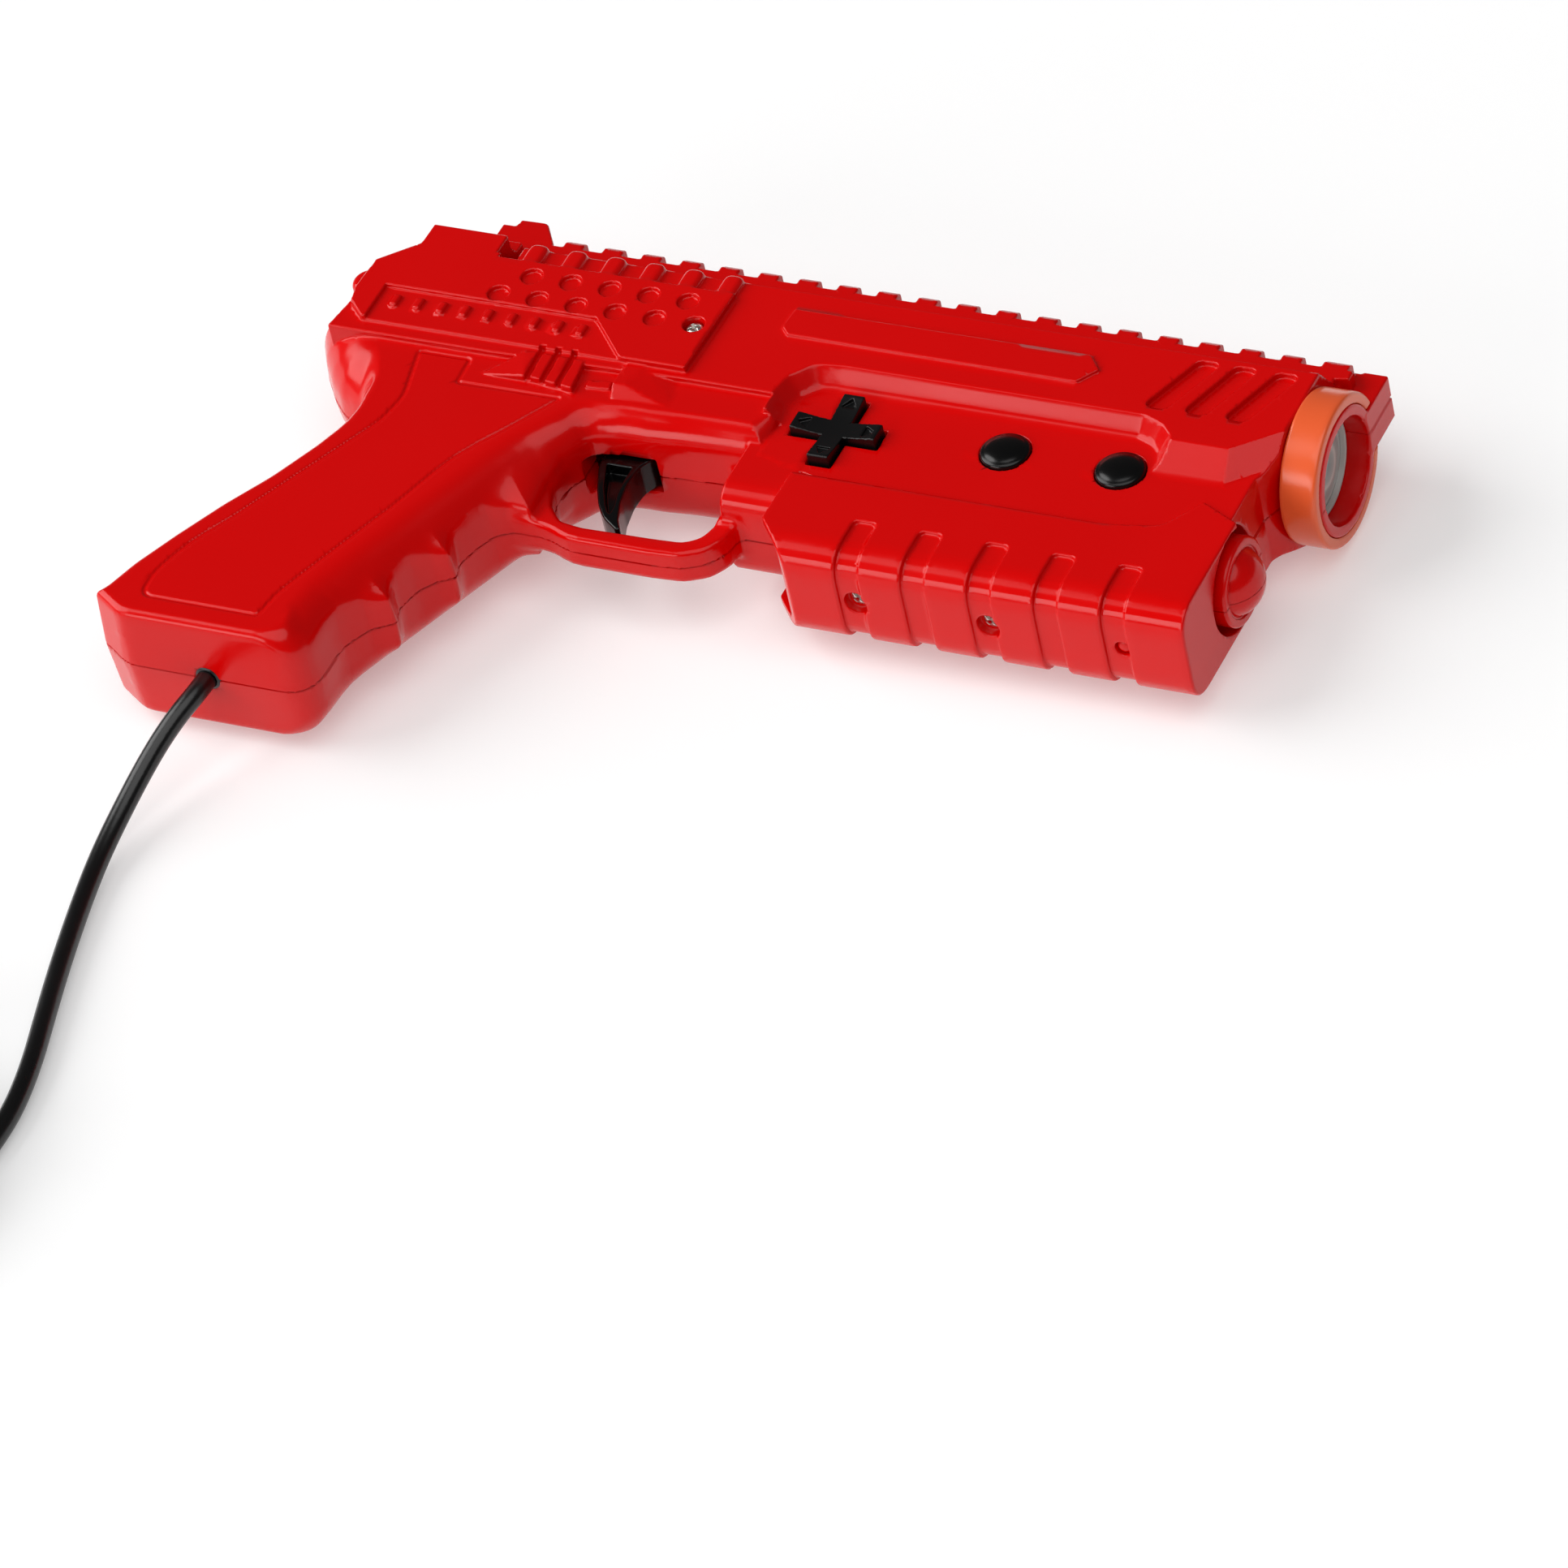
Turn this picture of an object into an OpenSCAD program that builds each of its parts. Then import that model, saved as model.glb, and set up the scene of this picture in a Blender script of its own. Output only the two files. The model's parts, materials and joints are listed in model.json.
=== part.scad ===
// Hand-held arcade light gun with a lead.
// Design frame: x runs along the barrel to the muzzle, y from the grip up to the rail, and z across
// the gun, with z = 0 on the parting plane. lay() then lays the gun down on its left side, with the
// origin on the table under the middle of the gun.

/* [Casing] */
// Half the thickness of the grip and frame
grip_half = 15.5; // [15:0.5:16.5]
// Half the thickness of the slide
slide_half = 17; // [17:0.1:17.5]
// Half the thickness over the raised rear panels, which the gun rests on
panel_half = 19; // [18.5:0.5:20]
// Height of the control pocket's floor above the parting plane
pocket_half = 12.4; // [12.2:0.1:12.6]
// Half the thickness of the trigger guard
guard_half = 4.5; // [4:0.5:5]
// Wall thickness of the casing
wall = 2.4; // [2:0.1:2.6]

/* [Rail] */
// Number of teeth on the rail
tooth_count = 20; // [16:1:20]
// Distance from one tooth to the next
tooth_pitch = 10; // [10:0.01:10.01]
// Length of one tooth
tooth_length = 5.2; // [4:0.1:5.5]
// Half the width of the rail
rail_half = 10; // [9:0.5:10.5]

/* [Muzzle] */
// Outer radius of the orange ring
ring_radius = 17.7; // [17:0.1:18]
// Inner radius of the bore
bore_radius = 12.4; // [12:0.1:12.6]
// Half the width of the sight bar that the ring's gap leaves free
bar_half = 5.9; // [5:0.1:6.5]

/* [Controls] */
// Radius of a round button
button_radius = 5.8; // [5:0.1:6]
// Travel of a round button
button_travel = 1.3; // [1:0.1:1.5]
// Length of the direction pad from tip to tip
dpad_span = 21; // [19:0.5:21.5]
// Width of one arm of the direction pad
dpad_arm = 5.2; // [4.8:0.1:5.6]

/* [Lead] */
// Diameter of the lead
lead_d = 4.8; // [4.4:0.1:5]
// Length of the lead from the grip to the plug
lead_length = 2000; // [1800:50:2200]

/* [Hidden] */
$fn = 48;
gap = 0.3;

// Ends of the gun, which place the origin under its middle
rear_x = -52;
front_x = 204;
bottom_y = -148;
top_y = 4;

// Controls: places in the design frame
dpad_at = [93, -51.4];
right_buttons = [[133.1, -48.6], [161.1, -48.6]];
left_buttons = [[108, -48.6], [136, -48.6]];
button_top = 14.3;
button_flange = 7.2;
dpad_top = 14.9;
dpad_pivot_z = 5.9;
dpad_pivot_r = 2;
panel_screw_at = [48.45, -30.6];
dimple_pitch = 9.95;
dimple_r = 2.4;
board_z = 2;
board_top = 3.6;
post_r = 2.8;
post_hole = 1;
right_board_posts = [[114, -59], [148, -59]];
left_board_posts = [[122, -53], [101, -57.2]];
main_board_posts = [[79, -26], [141, -19]];

// Trigger
trigger_half = 4.2;
trigger_axis = [48.5, -54.5];
trigger_pin_r = 1.5;
pin_clearance = 0.05;
spring_width = 2;

// Muzzle, lens and torch dome
axis_y = -24.5;
slide_front = 194.8;
ring_length = 8.9;
tube_x = 168;
lens_seat_x = 195.4;
lens_top_x = 198.9;
lens_radius = 11.5;
lens_curve_r = 37.5;
cover_front = 194.2;
cover_half = 13;
cover_bottom = -91.5;
inner_fore_half = 10.3;
inner_fore_bottom = -88.8;
dome_y = -64.2;
dome_recess_r = 13;
dome_collar_r = 10.3;

// Screws under the cover, 32.3 apart
cover_screw_x = [112.9, 145.2, 177.5];
cover_screw_hole = 2.9;
cover_boss_r = 4.2;
cover_screw_sink = 2.9;
plug_r = 1.7;
groove_start = 109.2;
groove_pitch = 16.1;

// Lead: route from the grip, laid down on the table, in round numbers (design frame)
table_z = -panel_half;
lead_z = table_z + lead_d / 2 + 0.05;
cord_exit = [-21.7, -147.8, 0];
lead_route = [
    [-21.7, -140, 0], [-21.8, -147.8, 0], [-22.4, -153, -0.4], [-24.3, -158, -2],
    [-26.6, -164, -5], [-28.6, -171, -8.7], [-30, -179, -12.3], [-30.5, -188, -15],
    [-29.7, -197, -16.3], [-27, -210, lead_z], [-23.3, -225, lead_z], [-19.4, -239, lead_z],
    [-15, -254, lead_z], [-12.4, -267, lead_z], [-12, -277, lead_z], [-12.6, -287, lead_z]
];
coil_middle = [-49, -300];
coil_mean_r = 27;
coil_half_width = 9.7;
coil_height = 14.4;
tie_thick = 0.6;
plug_size = [26, 15, 8];

// The gun lies on its left side: z = 0 of the row frame is the table
module lay() {
    translate([-(rear_x + front_x) / 2, -(bottom_y + top_y) / 2, -table_z]) children();
}

// A plate with the outline pts between two heights
module plate(z0, z1, pts) {
    translate([0, 0, z0]) linear_extrude(z1 - z0) polygon(pts);
}

// A cylinder along x from x0 to x1, centred on y
module along_x(x0, x1, y, r) {
    translate([x0, y, 0]) rotate([0, 90, 0]) cylinder(r = r, h = x1 - x0);
}

// A cylinder along y from y0 up to y1, on the parting plane
module along_y(x, y0, y1, r) {
    translate([x, y1, 0]) rotate([90, 0, 0]) cylinder(r = r, h = y1 - y0);
}

// A tube along z
module tube_z(p, z0, z1, outer, inner) {
    translate([p[0], p[1], z0]) difference() {
        cylinder(r = outer, h = z1 - z0);
        translate([0, 0, -1]) cylinder(r = inner, h = z1 - z0 + 2);
    }
}

// Outlines, each as seen from the right side
grip_outline = [
    [-34, -44], [-33.5, -49], [-30.5, -53.5], [-27.5, -56.5], [-24.5, -59], [-21.5, -63],
    [-20.2, -68], [-20.2, -75], [-23.6, -84.3], [-29.1, -96.2], [-35.6, -107.2],
    [-41.7, -119.3], [-46.8, -130.5], [-50, -138], [-52, -141.5], [-48, -145.5], [-42, -148],
    [-1.5, -148], [2.5, -146], [4, -142], [4.2, -136], [5.5, -129], [8.5, -124], [12.5, -121.8],
    [12, -116.5], [14, -110], [18.5, -104.8], [18.8, -100], [20.3, -94], [23.5, -88], [28, -86.4],
    [30.5, -80], [31, -70], [35, -62.5], [48, -62], [68, -61], [76, -61], [76, -44]
];
tail_outline = [
    [-20, -40], [-38, -38.2], [-44.5, -38.8], [-44.2, -42.5], [-40.5, -48.8], [-36, -54.6],
    [-31.5, -59], [-27, -61.4], [-22.4, -63], [-17, -60]
];
tail_half = 9;
grip_cavity = [
    [-30, -50], [-26, -53.2], [-21.5, -56.5], [-17.5, -62], [-16.8, -75], [-20.5, -85.5], [-26, -98],
    [-38.5, -121], [-46.5, -138], [-44, -145.4], [-3, -145.4], [1.2, -142], [1.6, -135],
    [5, -125.5], [9.2, -120], [9.4, -116], [11.4, -109], [15.6, -103.5], [17.4, -94], [22, -85],
    [27.6, -83], [28, -69], [33, -60], [73, -58.5], [73, -44], [-30, -44]
];
slide_outline = [
    [-36, -49], [-36, -27], [-27.5, -18.5], [-27.5, -12.5], [slide_front, -12.5],
    [slide_front, -32.5], [184.8, -40.8], [171.2, -40.8], [166.3, -36.2], [161.3, -34.4],
    [86.3, -34.4], [80, -36.5], [76, -42], [75.3, -46.5], [55, -46.5], [5, -49]
];
slide_cavity = [
    [-33, -43], [-33, -26], [-25, -18], [-25, -15.5], [168, -15.5], [168, -33], [74, -33],
    [72, -45]
];
panel_outline = [
    [-36, -40.5], [-36, -26], [-27.5, -18.2], [-27.5, -11.4], [-8, -11.4], [-8, -18.8],
    [53.2, -18.8], [53.2, -44.8], [28, -44.8], [-30, -44.8]
];
channel_outline = [
    [-30, -33.5], [24, -33.5], [36, -44.8], [-22, -44.8], [-30, -43.5]
];
slider_outline = [[5, -52], [8.5, -55.4], [29, -55.4], [29, -48.5], [8.5, -48.5]];
wedge_outline = [[38.3, -56], [54.6, -56], [55.3, -48.8], [48, -45.5]];
name_panel = [
    [68.8, -19.3], [142.2, -19.1], [146, -23.3], [142.4, -28.3], [70.7, -28], [68.4, -25.7]
];
pocket_outline = [
    [74, -44], [76, -62], [80.5, -76], [88, -76], [88, -65.6], [182, -65.6], [191.8, -58.2],
    [191.8, -44.3], [slide_front, -37], [slide_front, -32], [86, -32], [76, -40]
];
pocket_cavity = [
    [71, -45], [77, -60], [82, -73.5], [90, -73.5], [98, -86.4], [179, -86.4], [179, -63],
    [188.5, -55], [188.5, -42], [172, -42], [172, -38.5], [168, -38.5], [168, -30], [72, -30]
];
bulge_outline = [
    [74, -48], [76.8, -53.7], [80.8, -62], [86.5, -68.2], [84.3, -74.3], [78.5, -76],
    [78.2, -66], [74, -62]
];
inner_fore_outline = [
    [88, -64], [88, -76], [97, inner_fore_bottom], [181.5, inner_fore_bottom], [181.5, -64]
];
guard_outer = [
    [26, -87], [31, -88], [36, -89.2], [42, -89.9], [62, -89.9], [68, -89.2], [73.5, -86.6],
    [77.2, -82], [78.2, -76], [78.2, -62], [26, -62]
];
guard_inner = [
    [31, -62], [31, -77], [33.5, -82], [38, -84.9], [44, -85.4], [62, -85.1], [68, -83.6],
    [72, -79.5], [73, -74], [71, -66], [67, -60], [40, -60]
];

// Screws that hold the halves together: place, and the height of the wall inside
boss_places = [
    [-30, -30, 14.6], [66, -52, 13.1], [184, -50, 10], [-34, -125, 13.1], [2, -84, 13.1],
    [152, -24, 14.6]
];
boss_r = 3.6;
well_r = 3.2;
well_floor = 8;

// Rail with its teeth, the rear sight and the front bar
module rail_half_solid() {
    plate(0, rail_half, [[-18, -13], [-18, -3], [198, -3], [198, -5.9], [slide_front, -6.4],
        [slide_front, -13]]);
    for (i = [0 : tooth_count - 1])
        translate([i * tooth_pitch, -3.2, 0]) cube([tooth_length, 3.2, rail_half]);
    plate(0, rail_half, [[-17.5, -4], [-17.5, 1.4], [-14.2, 1.4], [-13.8, 3.9], [-13, top_y],
        [-7, top_y], [-6.7, 3.5], [-2.6, -3.1], [-2.6, -4]]);
    plate(0, bar_half, [[194, -10], [196, 1.2], [front_x, 1.6], [front_x, -12.6], [194, -14]]);
}

// Fixed inner ring of the muzzle, which carries the orange ring
module muzzle_half_solid() {
    intersection() {
        along_x(slide_front - 2, front_x, axis_y, ring_radius - 3);
        translate([150, -60, 0]) cube([80, 60, 40]);
    }
}

// Dome with its collar under the barrel
module dome_half_solid() {
    intersection() {
        union() {
            along_x(181.5, 195.5, dome_y, dome_collar_r);
            translate([191.5, dome_y, 0]) rotate([0, 90, 0]) sphere(r = 8.2);
        }
        translate([150, -90, 0]) cube([80, 60, 40]);
    }
}

// Raised rear panel with its channel, pegs and dimples, and the six loops above it
module rear_panel_solid() {
    difference() {
        plate(slide_half - 1, panel_half, panel_outline);
        plate(slide_half, panel_half + 1, channel_outline);
        for (i = [0 : 4])
            translate([4 + i * dimple_pitch, -23.5, panel_half - 1]) cylinder(r = dimple_r, h = 2);
        for (i = [0 : 5])
            translate([panel_screw_at[0] - i * dimple_pitch, panel_screw_at[1], panel_half - 1])
                cylinder(r = dimple_r, h = 2);
    }
    for (i = [0 : 8])
        translate([-24.3 + i * 6, -40, slide_half - 1]) cube([2.4, 4.6, 2.4]);
    for (i = [0 : 5])
        translate([-1.6 + i * dimple_pitch, -20, slide_half - 8]) cube([5, 7.7, 9.6]);
}

// Everything outside, for z from 0 up
module half_solid() {
    plate(0, grip_half, grip_outline);
    plate(0, tail_half, tail_outline);
    difference() {
        plate(0, guard_half, guard_outer);
        plate(-1, guard_half + 1, guard_inner);
    }
    difference() {
        plate(0, slide_half, slide_outline);
        // Three slanted slots behind the muzzle
        for (i = [0 : 2])
            translate([i * 9.8, 0, 0])
                plate(slide_half - 1.2, slide_half + 1, [[160, -32], [165, -32], [171.4, -14.8],
                    [166.4, -14.8]]);
    }
    rear_panel_solid();
    plate(grip_half - 1, slide_half, slider_outline);
    plate(grip_half - 1, slide_half, wedge_outline);
    plate(slide_half - 1, slide_half + 0.6, name_panel);
    plate(0, pocket_half, pocket_outline);
    plate(0, grip_half - 1, bulge_outline);
    plate(0, inner_fore_half, inner_fore_outline);
    rail_half_solid();
    muzzle_half_solid();
    dome_half_solid();
    // Rounded bar across the rear end
    translate([-36.2, -31.4, 0]) cylinder(r = 4.3, h = 15);
}

// Hollow inside, for z from -1 up
module half_cavity() {
    plate(-1, grip_half - wall, grip_cavity);
    plate(-1, slide_half - wall, slide_cavity);
    plate(-1, rail_half - wall, [[-12, -20], [-12, -5.5], [160, -5.5], [160, -20]]);
    plate(-1, pocket_half - wall, pocket_cavity);
    // Seat of the camera tube and the bore in front of it
    along_x(166, front_x + 1, axis_y, bore_radius);
    // Slot for the trigger in the underside
    plate(-1, trigger_half + 0.5, [[35, -57], [35, -66], [51, -66], [51, -60.4], [56, -60.4],
        [56, -57]]);
    // Way out for the lead
    along_y(cord_exit[0], cord_exit[1] - 2, -143, 3.4);
}

// Half casing with its bosses and ribs, before the openings of its own side
module half_casing() {
    difference() {
        half_solid();
        half_cavity();
        // Holes that the cover's screw bosses reach through
        for (x = cover_screw_x)
            along_y(x, inner_fore_bottom - 1, inner_fore_bottom + 2.5, cover_boss_r + 0.3);
        translate([trigger_axis[0], trigger_axis[1], -1])
            cylinder(r = trigger_pin_r, h = grip_half - wall + 1);
    }
    for (p = boss_places)
        tube_z(p, 0, p[2] + 0.2, boss_r, 1.3);
    // Posts for the cover's screws
    for (x = cover_screw_x) difference() {
        union() {
            intersection() {
                along_y(x, inner_fore_bottom + 2.6, -79, 3.4);
                translate([x - 5, -90, 0]) cube([10, 20, 10]);
            }
            translate([x - 1.2, inner_fore_bottom + 2.6, 1.5])
                cube([2.4, 7.2, pocket_half - wall - 1.4]);
        }
        along_y(x, inner_fore_bottom, -78, 1.25);
    }
}

module dpad_hole() {
    for (a = [0, 90])
        translate([dpad_at[0], dpad_at[1], 5]) rotate([0, 0, a])
            translate([-dpad_span / 2 - 0.6, -dpad_arm / 2 - 0.6, 0])
                cube([dpad_span + 1.2, dpad_arm + 1.2, 20]);
}

module button_holes(places) {
    for (p = places)
        translate([p[0], p[1], 5]) cylinder(r = button_radius + 0.3, h = 20);
}

module right_shell() color("red") lay() {
    difference() {
        half_casing();
        dpad_hole();
        button_holes(right_buttons);
        // Hole and counterbore for the rear panel's screw
        translate([panel_screw_at[0], panel_screw_at[1], panel_half - 6]) cylinder(r = 1.6, h = 8);
        translate([panel_screw_at[0], panel_screw_at[1], panel_half - 2.8])
            cylinder(r = dimple_r, h = 8);
    }
    for (p = right_board_posts)
        tube_z(p, board_top, pocket_half - wall + 0.2, post_r, post_hole);
    for (p = main_board_posts)
        tube_z(p, 0.6, slide_half - wall + 0.2, post_r, post_hole);
    tube_z(trigger_axis, trigger_half + spring_width + 0.6, grip_half - wall + 0.2, 3.4, trigger_pin_r);
}

module left_shell() color("red") lay() mirror([0, 0, 1]) {
    difference() {
        half_casing();
        button_holes(left_buttons);
        // Wells for the screw heads
        for (p = boss_places)
            translate([p[0], p[1], well_floor]) cylinder(r = well_r, h = 20);
    }
    // Walls around the wells
    for (p = boss_places)
        tube_z(p, well_floor - 1.6, p[2] + 0.2, well_r + 1.2, well_r);
    for (p = boss_places)
        tube_z(p, well_floor - 1.6, well_floor, well_r + 0.6, 1.3);
    for (p = left_board_posts)
        tube_z(p, board_top, pocket_half - wall + 0.2, post_r, post_hole);
    tube_z(trigger_axis, trigger_half + 0.4, grip_half - wall + 0.2, 3.4, trigger_pin_r);
}

// U-shaped block along x with rounded lower edges
module fore_block(x0, x1, half, bottom, top, r) {
    translate([x0, 0, 0]) rotate([90, 0, 90]) linear_extrude(x1 - x0) union() {
        translate([bottom + r, -half]) square([top - bottom - r, 2 * half]);
        translate([bottom, -half + r]) square([r + 1, 2 * (half - r)]);
        for (s = [-1, 1]) translate([bottom + r, s * (half - r)]) circle(r = r);
    }
}

// Shallow groove that wraps around the cover
module cover_groove() {
    depth = 0.8;
    width = 5.6;
    difference() {
        translate([0, -98, -20]) cube([width, 20, 40]);
        translate([-1, cover_bottom + depth, -cover_half + depth])
            cube([width + 2, 30, 2 * (cover_half - depth)]);
    }
}

// One-piece cover that wraps around the fore-end, with its grooves and its screw holes
module fore_end_cover() color("red") lay() {
    difference() {
        union() {
            difference() {
                fore_block(88, cover_front, cover_half, cover_bottom, -66, 4.5);
                fore_block(80, 190, inner_fore_half + gap, inner_fore_bottom - gap, -50, 0.6);
                for (i = [0 : 4])
                    translate([groove_start + i * groove_pitch, 0, 0]) cover_groove();
            }
            for (x = cover_screw_x)
                along_y(x, cover_bottom + 1, inner_fore_bottom + 2.4, cover_boss_r);
        }
        // Rear end cut back at a slant under the guard
        translate([0, 0, -30]) linear_extrude(60)
            polygon([[80, -79.5], [86.5, -79.5], [98, -93], [98, -110], [80, -110]]);
        // Front opening around the dome
        along_x(185, 200, dome_y, dome_recess_r);
        for (x = cover_screw_x) {
            along_y(x, cover_bottom - 5, -80, 1.35);
            along_y(x, cover_bottom - 5, cover_bottom + cover_screw_sink + 1.6,
                x == cover_screw_x[2] ? plug_r + 0.2 : cover_screw_hole);
        }
    }
}

// Orange C-ring with its gap at the top
module muzzle_ring() color([0.88, 0.36, 0.2]) lay() {
    difference() {
        along_x(slide_front + 0.1, slide_front + ring_length, axis_y, ring_radius);
        along_x(slide_front - 1, front_x + 1, axis_y, ring_radius - 2.9);
        translate([190, axis_y, -bar_half - 0.4]) cube([20, 40, 2 * bar_half + 0.8]);
    }
}

// Glass lens, held in the camera tube's seat
module lens() color([0.5, 0.6, 0.58, 0.5]) lay() {
    intersection() {
        along_x(lens_seat_x, lens_top_x, axis_y, lens_radius);
        translate([lens_top_x - lens_curve_r, axis_y, 0]) sphere(r = lens_curve_r, $fn = 96);
    }
}

module camera_tube() color([0.5, 0.5, 0.48]) lay() {
    difference() {
        along_x(tube_x, lens_top_x - 0.6, axis_y, bore_radius - 0.05);
        along_x(tube_x + 2, lens_seat_x + 0.1, axis_y, 8.5);
        along_x(lens_seat_x, lens_top_x, axis_y, lens_radius + 0.05);
        along_x(tube_x - 8, tube_x + 7, axis_y, 4);
    }
}

module camera_board() color("darkgreen") lay() {
    translate([166.2, axis_y - 8, -10]) cube([1.6, 16.5, 20]);
    along_x(167, 176, axis_y, 3.6);
}

module main_board() color("darkgreen") lay() {
    difference() {
        union() {
            translate([75, -30, -1]) cube([70, 13, 1.6]);
            translate([92, -28, 0.6]) cube([12, 9, 1.6]);
            translate([112, -27, 0.6]) cube([8, 8, 2.4]);
            translate([128, -29.5, -3.4]) cube([9, 9, 2.4]);
        }
        for (p = main_board_posts)
            translate([p[0], p[1], -2]) cylinder(r = 1.2, h = 4);
    }
}

module right_switch_board() color("darkgreen") lay() {
    difference() {
        translate([81, -63, board_z]) cube([88, 24, board_top - board_z]);
        for (p = right_board_posts)
            translate([p[0], p[1], board_z - 1]) cylinder(r = 1.2, h = 5);
    }
}

module left_switch_board() color("darkgreen") lay() {
    difference() {
        translate([98, -60, -board_top]) cube([48, 20, board_top - board_z]);
        for (p = left_board_posts)
            translate([p[0], p[1], -board_top - 1]) cylinder(r = 1.2, h = 5);
    }
}

// Direction pad: a cross on a round flange, with a socket for its pivot
module dpad() color([0.08, 0.08, 0.08]) lay() {
    translate([dpad_at[0], dpad_at[1], 0]) difference() {
        union() {
            for (a = [0, 90]) rotate([0, 0, a])
                translate([-dpad_span / 2, -dpad_arm / 2, 7])
                    cube([dpad_span, dpad_arm, dpad_top - 7]);
            translate([0, 0, 6.6]) cylinder(r = 12, h = 1.8);
        }
        translate([0, 0, dpad_pivot_z]) sphere(r = dpad_pivot_r + 0.1);
        // Arrows pressed into the ends of the arms
        for (a = [0, 90, 180, 270]) rotate([0, 0, a])
            translate([dpad_span / 2 - 2.6, 0, dpad_top - 0.6]) cylinder(r = 1.5, h = 2, $fn = 3);
        // The arms dip towards the middle
        translate([0, 0, dpad_top + 24.2]) sphere(r = 25, $fn = 96);
    }
}

// Small ball that the direction pad rocks on
module dpad_pivot() color("silver") lay() {
    translate([dpad_at[0], dpad_at[1], dpad_pivot_z]) sphere(r = dpad_pivot_r);
}

// Rubber disc with four contact domes under the direction pad
module dpad_membrane() color([0.3, 0.3, 0.32]) lay() {
    translate([dpad_at[0], dpad_at[1], board_top]) difference() {
        union() {
            cylinder(r = 11.5, h = 1.2);
            for (a = [0, 90, 180, 270]) rotate([0, 0, a])
                translate([8, 0, 0]) cylinder(r = 2, h = 1.9);
        }
        translate([0, 0, -1]) cylinder(r = 2.6, h = 4);
    }
}

// Round button with a domed top and a flange that keeps it in the casing
module button(p) {
    translate([p[0], p[1], 0]) {
        translate([0, 0, 8]) cylinder(r = button_flange, h = 1.7);
        intersection() {
            translate([0, 0, 8]) cylinder(r = button_radius, h = 8);
            translate([0, 0, button_top - 15]) sphere(r = 15, $fn = 96);
        }
    }
}

module right_rear_button() color([0.08, 0.08, 0.08]) lay() button(right_buttons[0]);
module right_front_button() color([0.08, 0.08, 0.08]) lay() button(right_buttons[1]);
module left_rear_button() color([0.08, 0.08, 0.08]) lay() mirror([0, 0, 1]) button(left_buttons[0]);
module left_front_button() color([0.08, 0.08, 0.08]) lay() mirror([0, 0, 1]) button(left_buttons[1]);

// Rubber domes under the four round buttons
module button_membranes() color([0.3, 0.3, 0.32]) lay() {
    for (p = right_buttons)
        translate([p[0], p[1], board_top]) cylinder(r1 = 5.5, r2 = 4, h = 2.6);
    for (p = left_buttons)
        translate([p[0], p[1], -board_top]) mirror([0, 0, 1]) cylinder(r1 = 5.5, r2 = 4, h = 2.6);
}

// Curved trigger with open sides, a hub on its pin and an arm that works the switch
module trigger() color([0.08, 0.08, 0.08]) lay() {
    difference() {
        union() {
            plate(-trigger_half, trigger_half, [[37, -58], [38, -66], [40.9, -72.8],
                [43.4, -77.4], [46.4, -81.2], [50.4, -84.2], [52, -84.2], [50.4, -81],
                [48.2, -75.5], [47.2, -69.5], [47.4, -63.7], [51, -58], [50, -52.5], [40, -51.5],
                [37, -53]]);
            translate([trigger_axis[0], trigger_axis[1], -trigger_half])
                cylinder(r = 4, h = 2 * trigger_half);
        }
        translate([trigger_axis[0], trigger_axis[1], -10])
            cylinder(r = trigger_pin_r + pin_clearance, h = 20);
        // Side pockets that leave the rim and a middle web
        for (s = [-1, 1])
            translate([0, 0, s * (trigger_half - 1.2) - 1.3]) linear_extrude(2.6)
                polygon([[40.4, -66], [42.8, -72.4], [45.4, -76.8], [46.4, -77], [45.4, -70],
                    [45.4, -66]]);
    }
}

module trigger_pin() color("silver") lay() {
    translate([trigger_axis[0], trigger_axis[1], -grip_half + wall])
        cylinder(r = trigger_pin_r, h = 2 * (grip_half - wall));
}

// Torsion spring around the pin, with a leg on the casing and a leg over the trigger
module trigger_spring() color("silver") lay() {
    tube_z(trigger_axis, trigger_half + 0.2, trigger_half + spring_width, 2.9, 1.9);
    translate([trigger_axis[0], trigger_axis[1] + 2.1, trigger_half + 0.3]) cube([9, 0.8, 0.8]);
    translate([trigger_axis[0] - 8, trigger_axis[1] + 2.1, trigger_half + 1.1]) cube([8, 0.8, 0.8]);
}

// Microswitch above the trigger's rear arm
module trigger_switch() color([0.12, 0.12, 0.12]) lay() {
    translate([33, -47, -3]) cube([12.8, 6.5, 6]);
    translate([37, -48, -0.8]) cube([1.4, 1.2, 1.6]);
}

// A screw with a cross recess, standing along z with its head's top at z = 0
module screw(head_r, shank_r, length) {
    difference() {
        union() {
            translate([0, 0, -1.6]) cylinder(r = head_r, h = 1.6);
            translate([0, 0, -length]) cylinder(r = shank_r, h = length - 1);
        }
        for (a = [0, 90]) rotate([0, 0, a])
            translate([-head_r * 0.6, -0.3, -0.9]) cube([head_r * 1.2, 0.6, 2]);
    }
}

module shell_screws() color("silver") lay() {
    for (p = boss_places)
        translate([p[0], p[1], -well_floor - 1.6]) mirror([0, 0, 1]) screw(2.7, 1.2, 16);
}

module panel_screw() color("silver") lay() {
    translate([panel_screw_at[0], panel_screw_at[1], panel_half - 1.2]) screw(2, 1.5, 4.6);
}

module cover_screws() color("silver") lay() {
    for (x = [cover_screw_x[0], cover_screw_x[1]])
        translate([x, cover_bottom + cover_screw_sink, 0]) rotate([90, 0, 0]) screw(2.6, 1.2, 8.5);
}

// Plug in the third hole
module cover_plug() color("red") lay() {
    along_y(cover_screw_x[2], cover_bottom + 1.4, cover_bottom + 4.4, plug_r);
}

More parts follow.
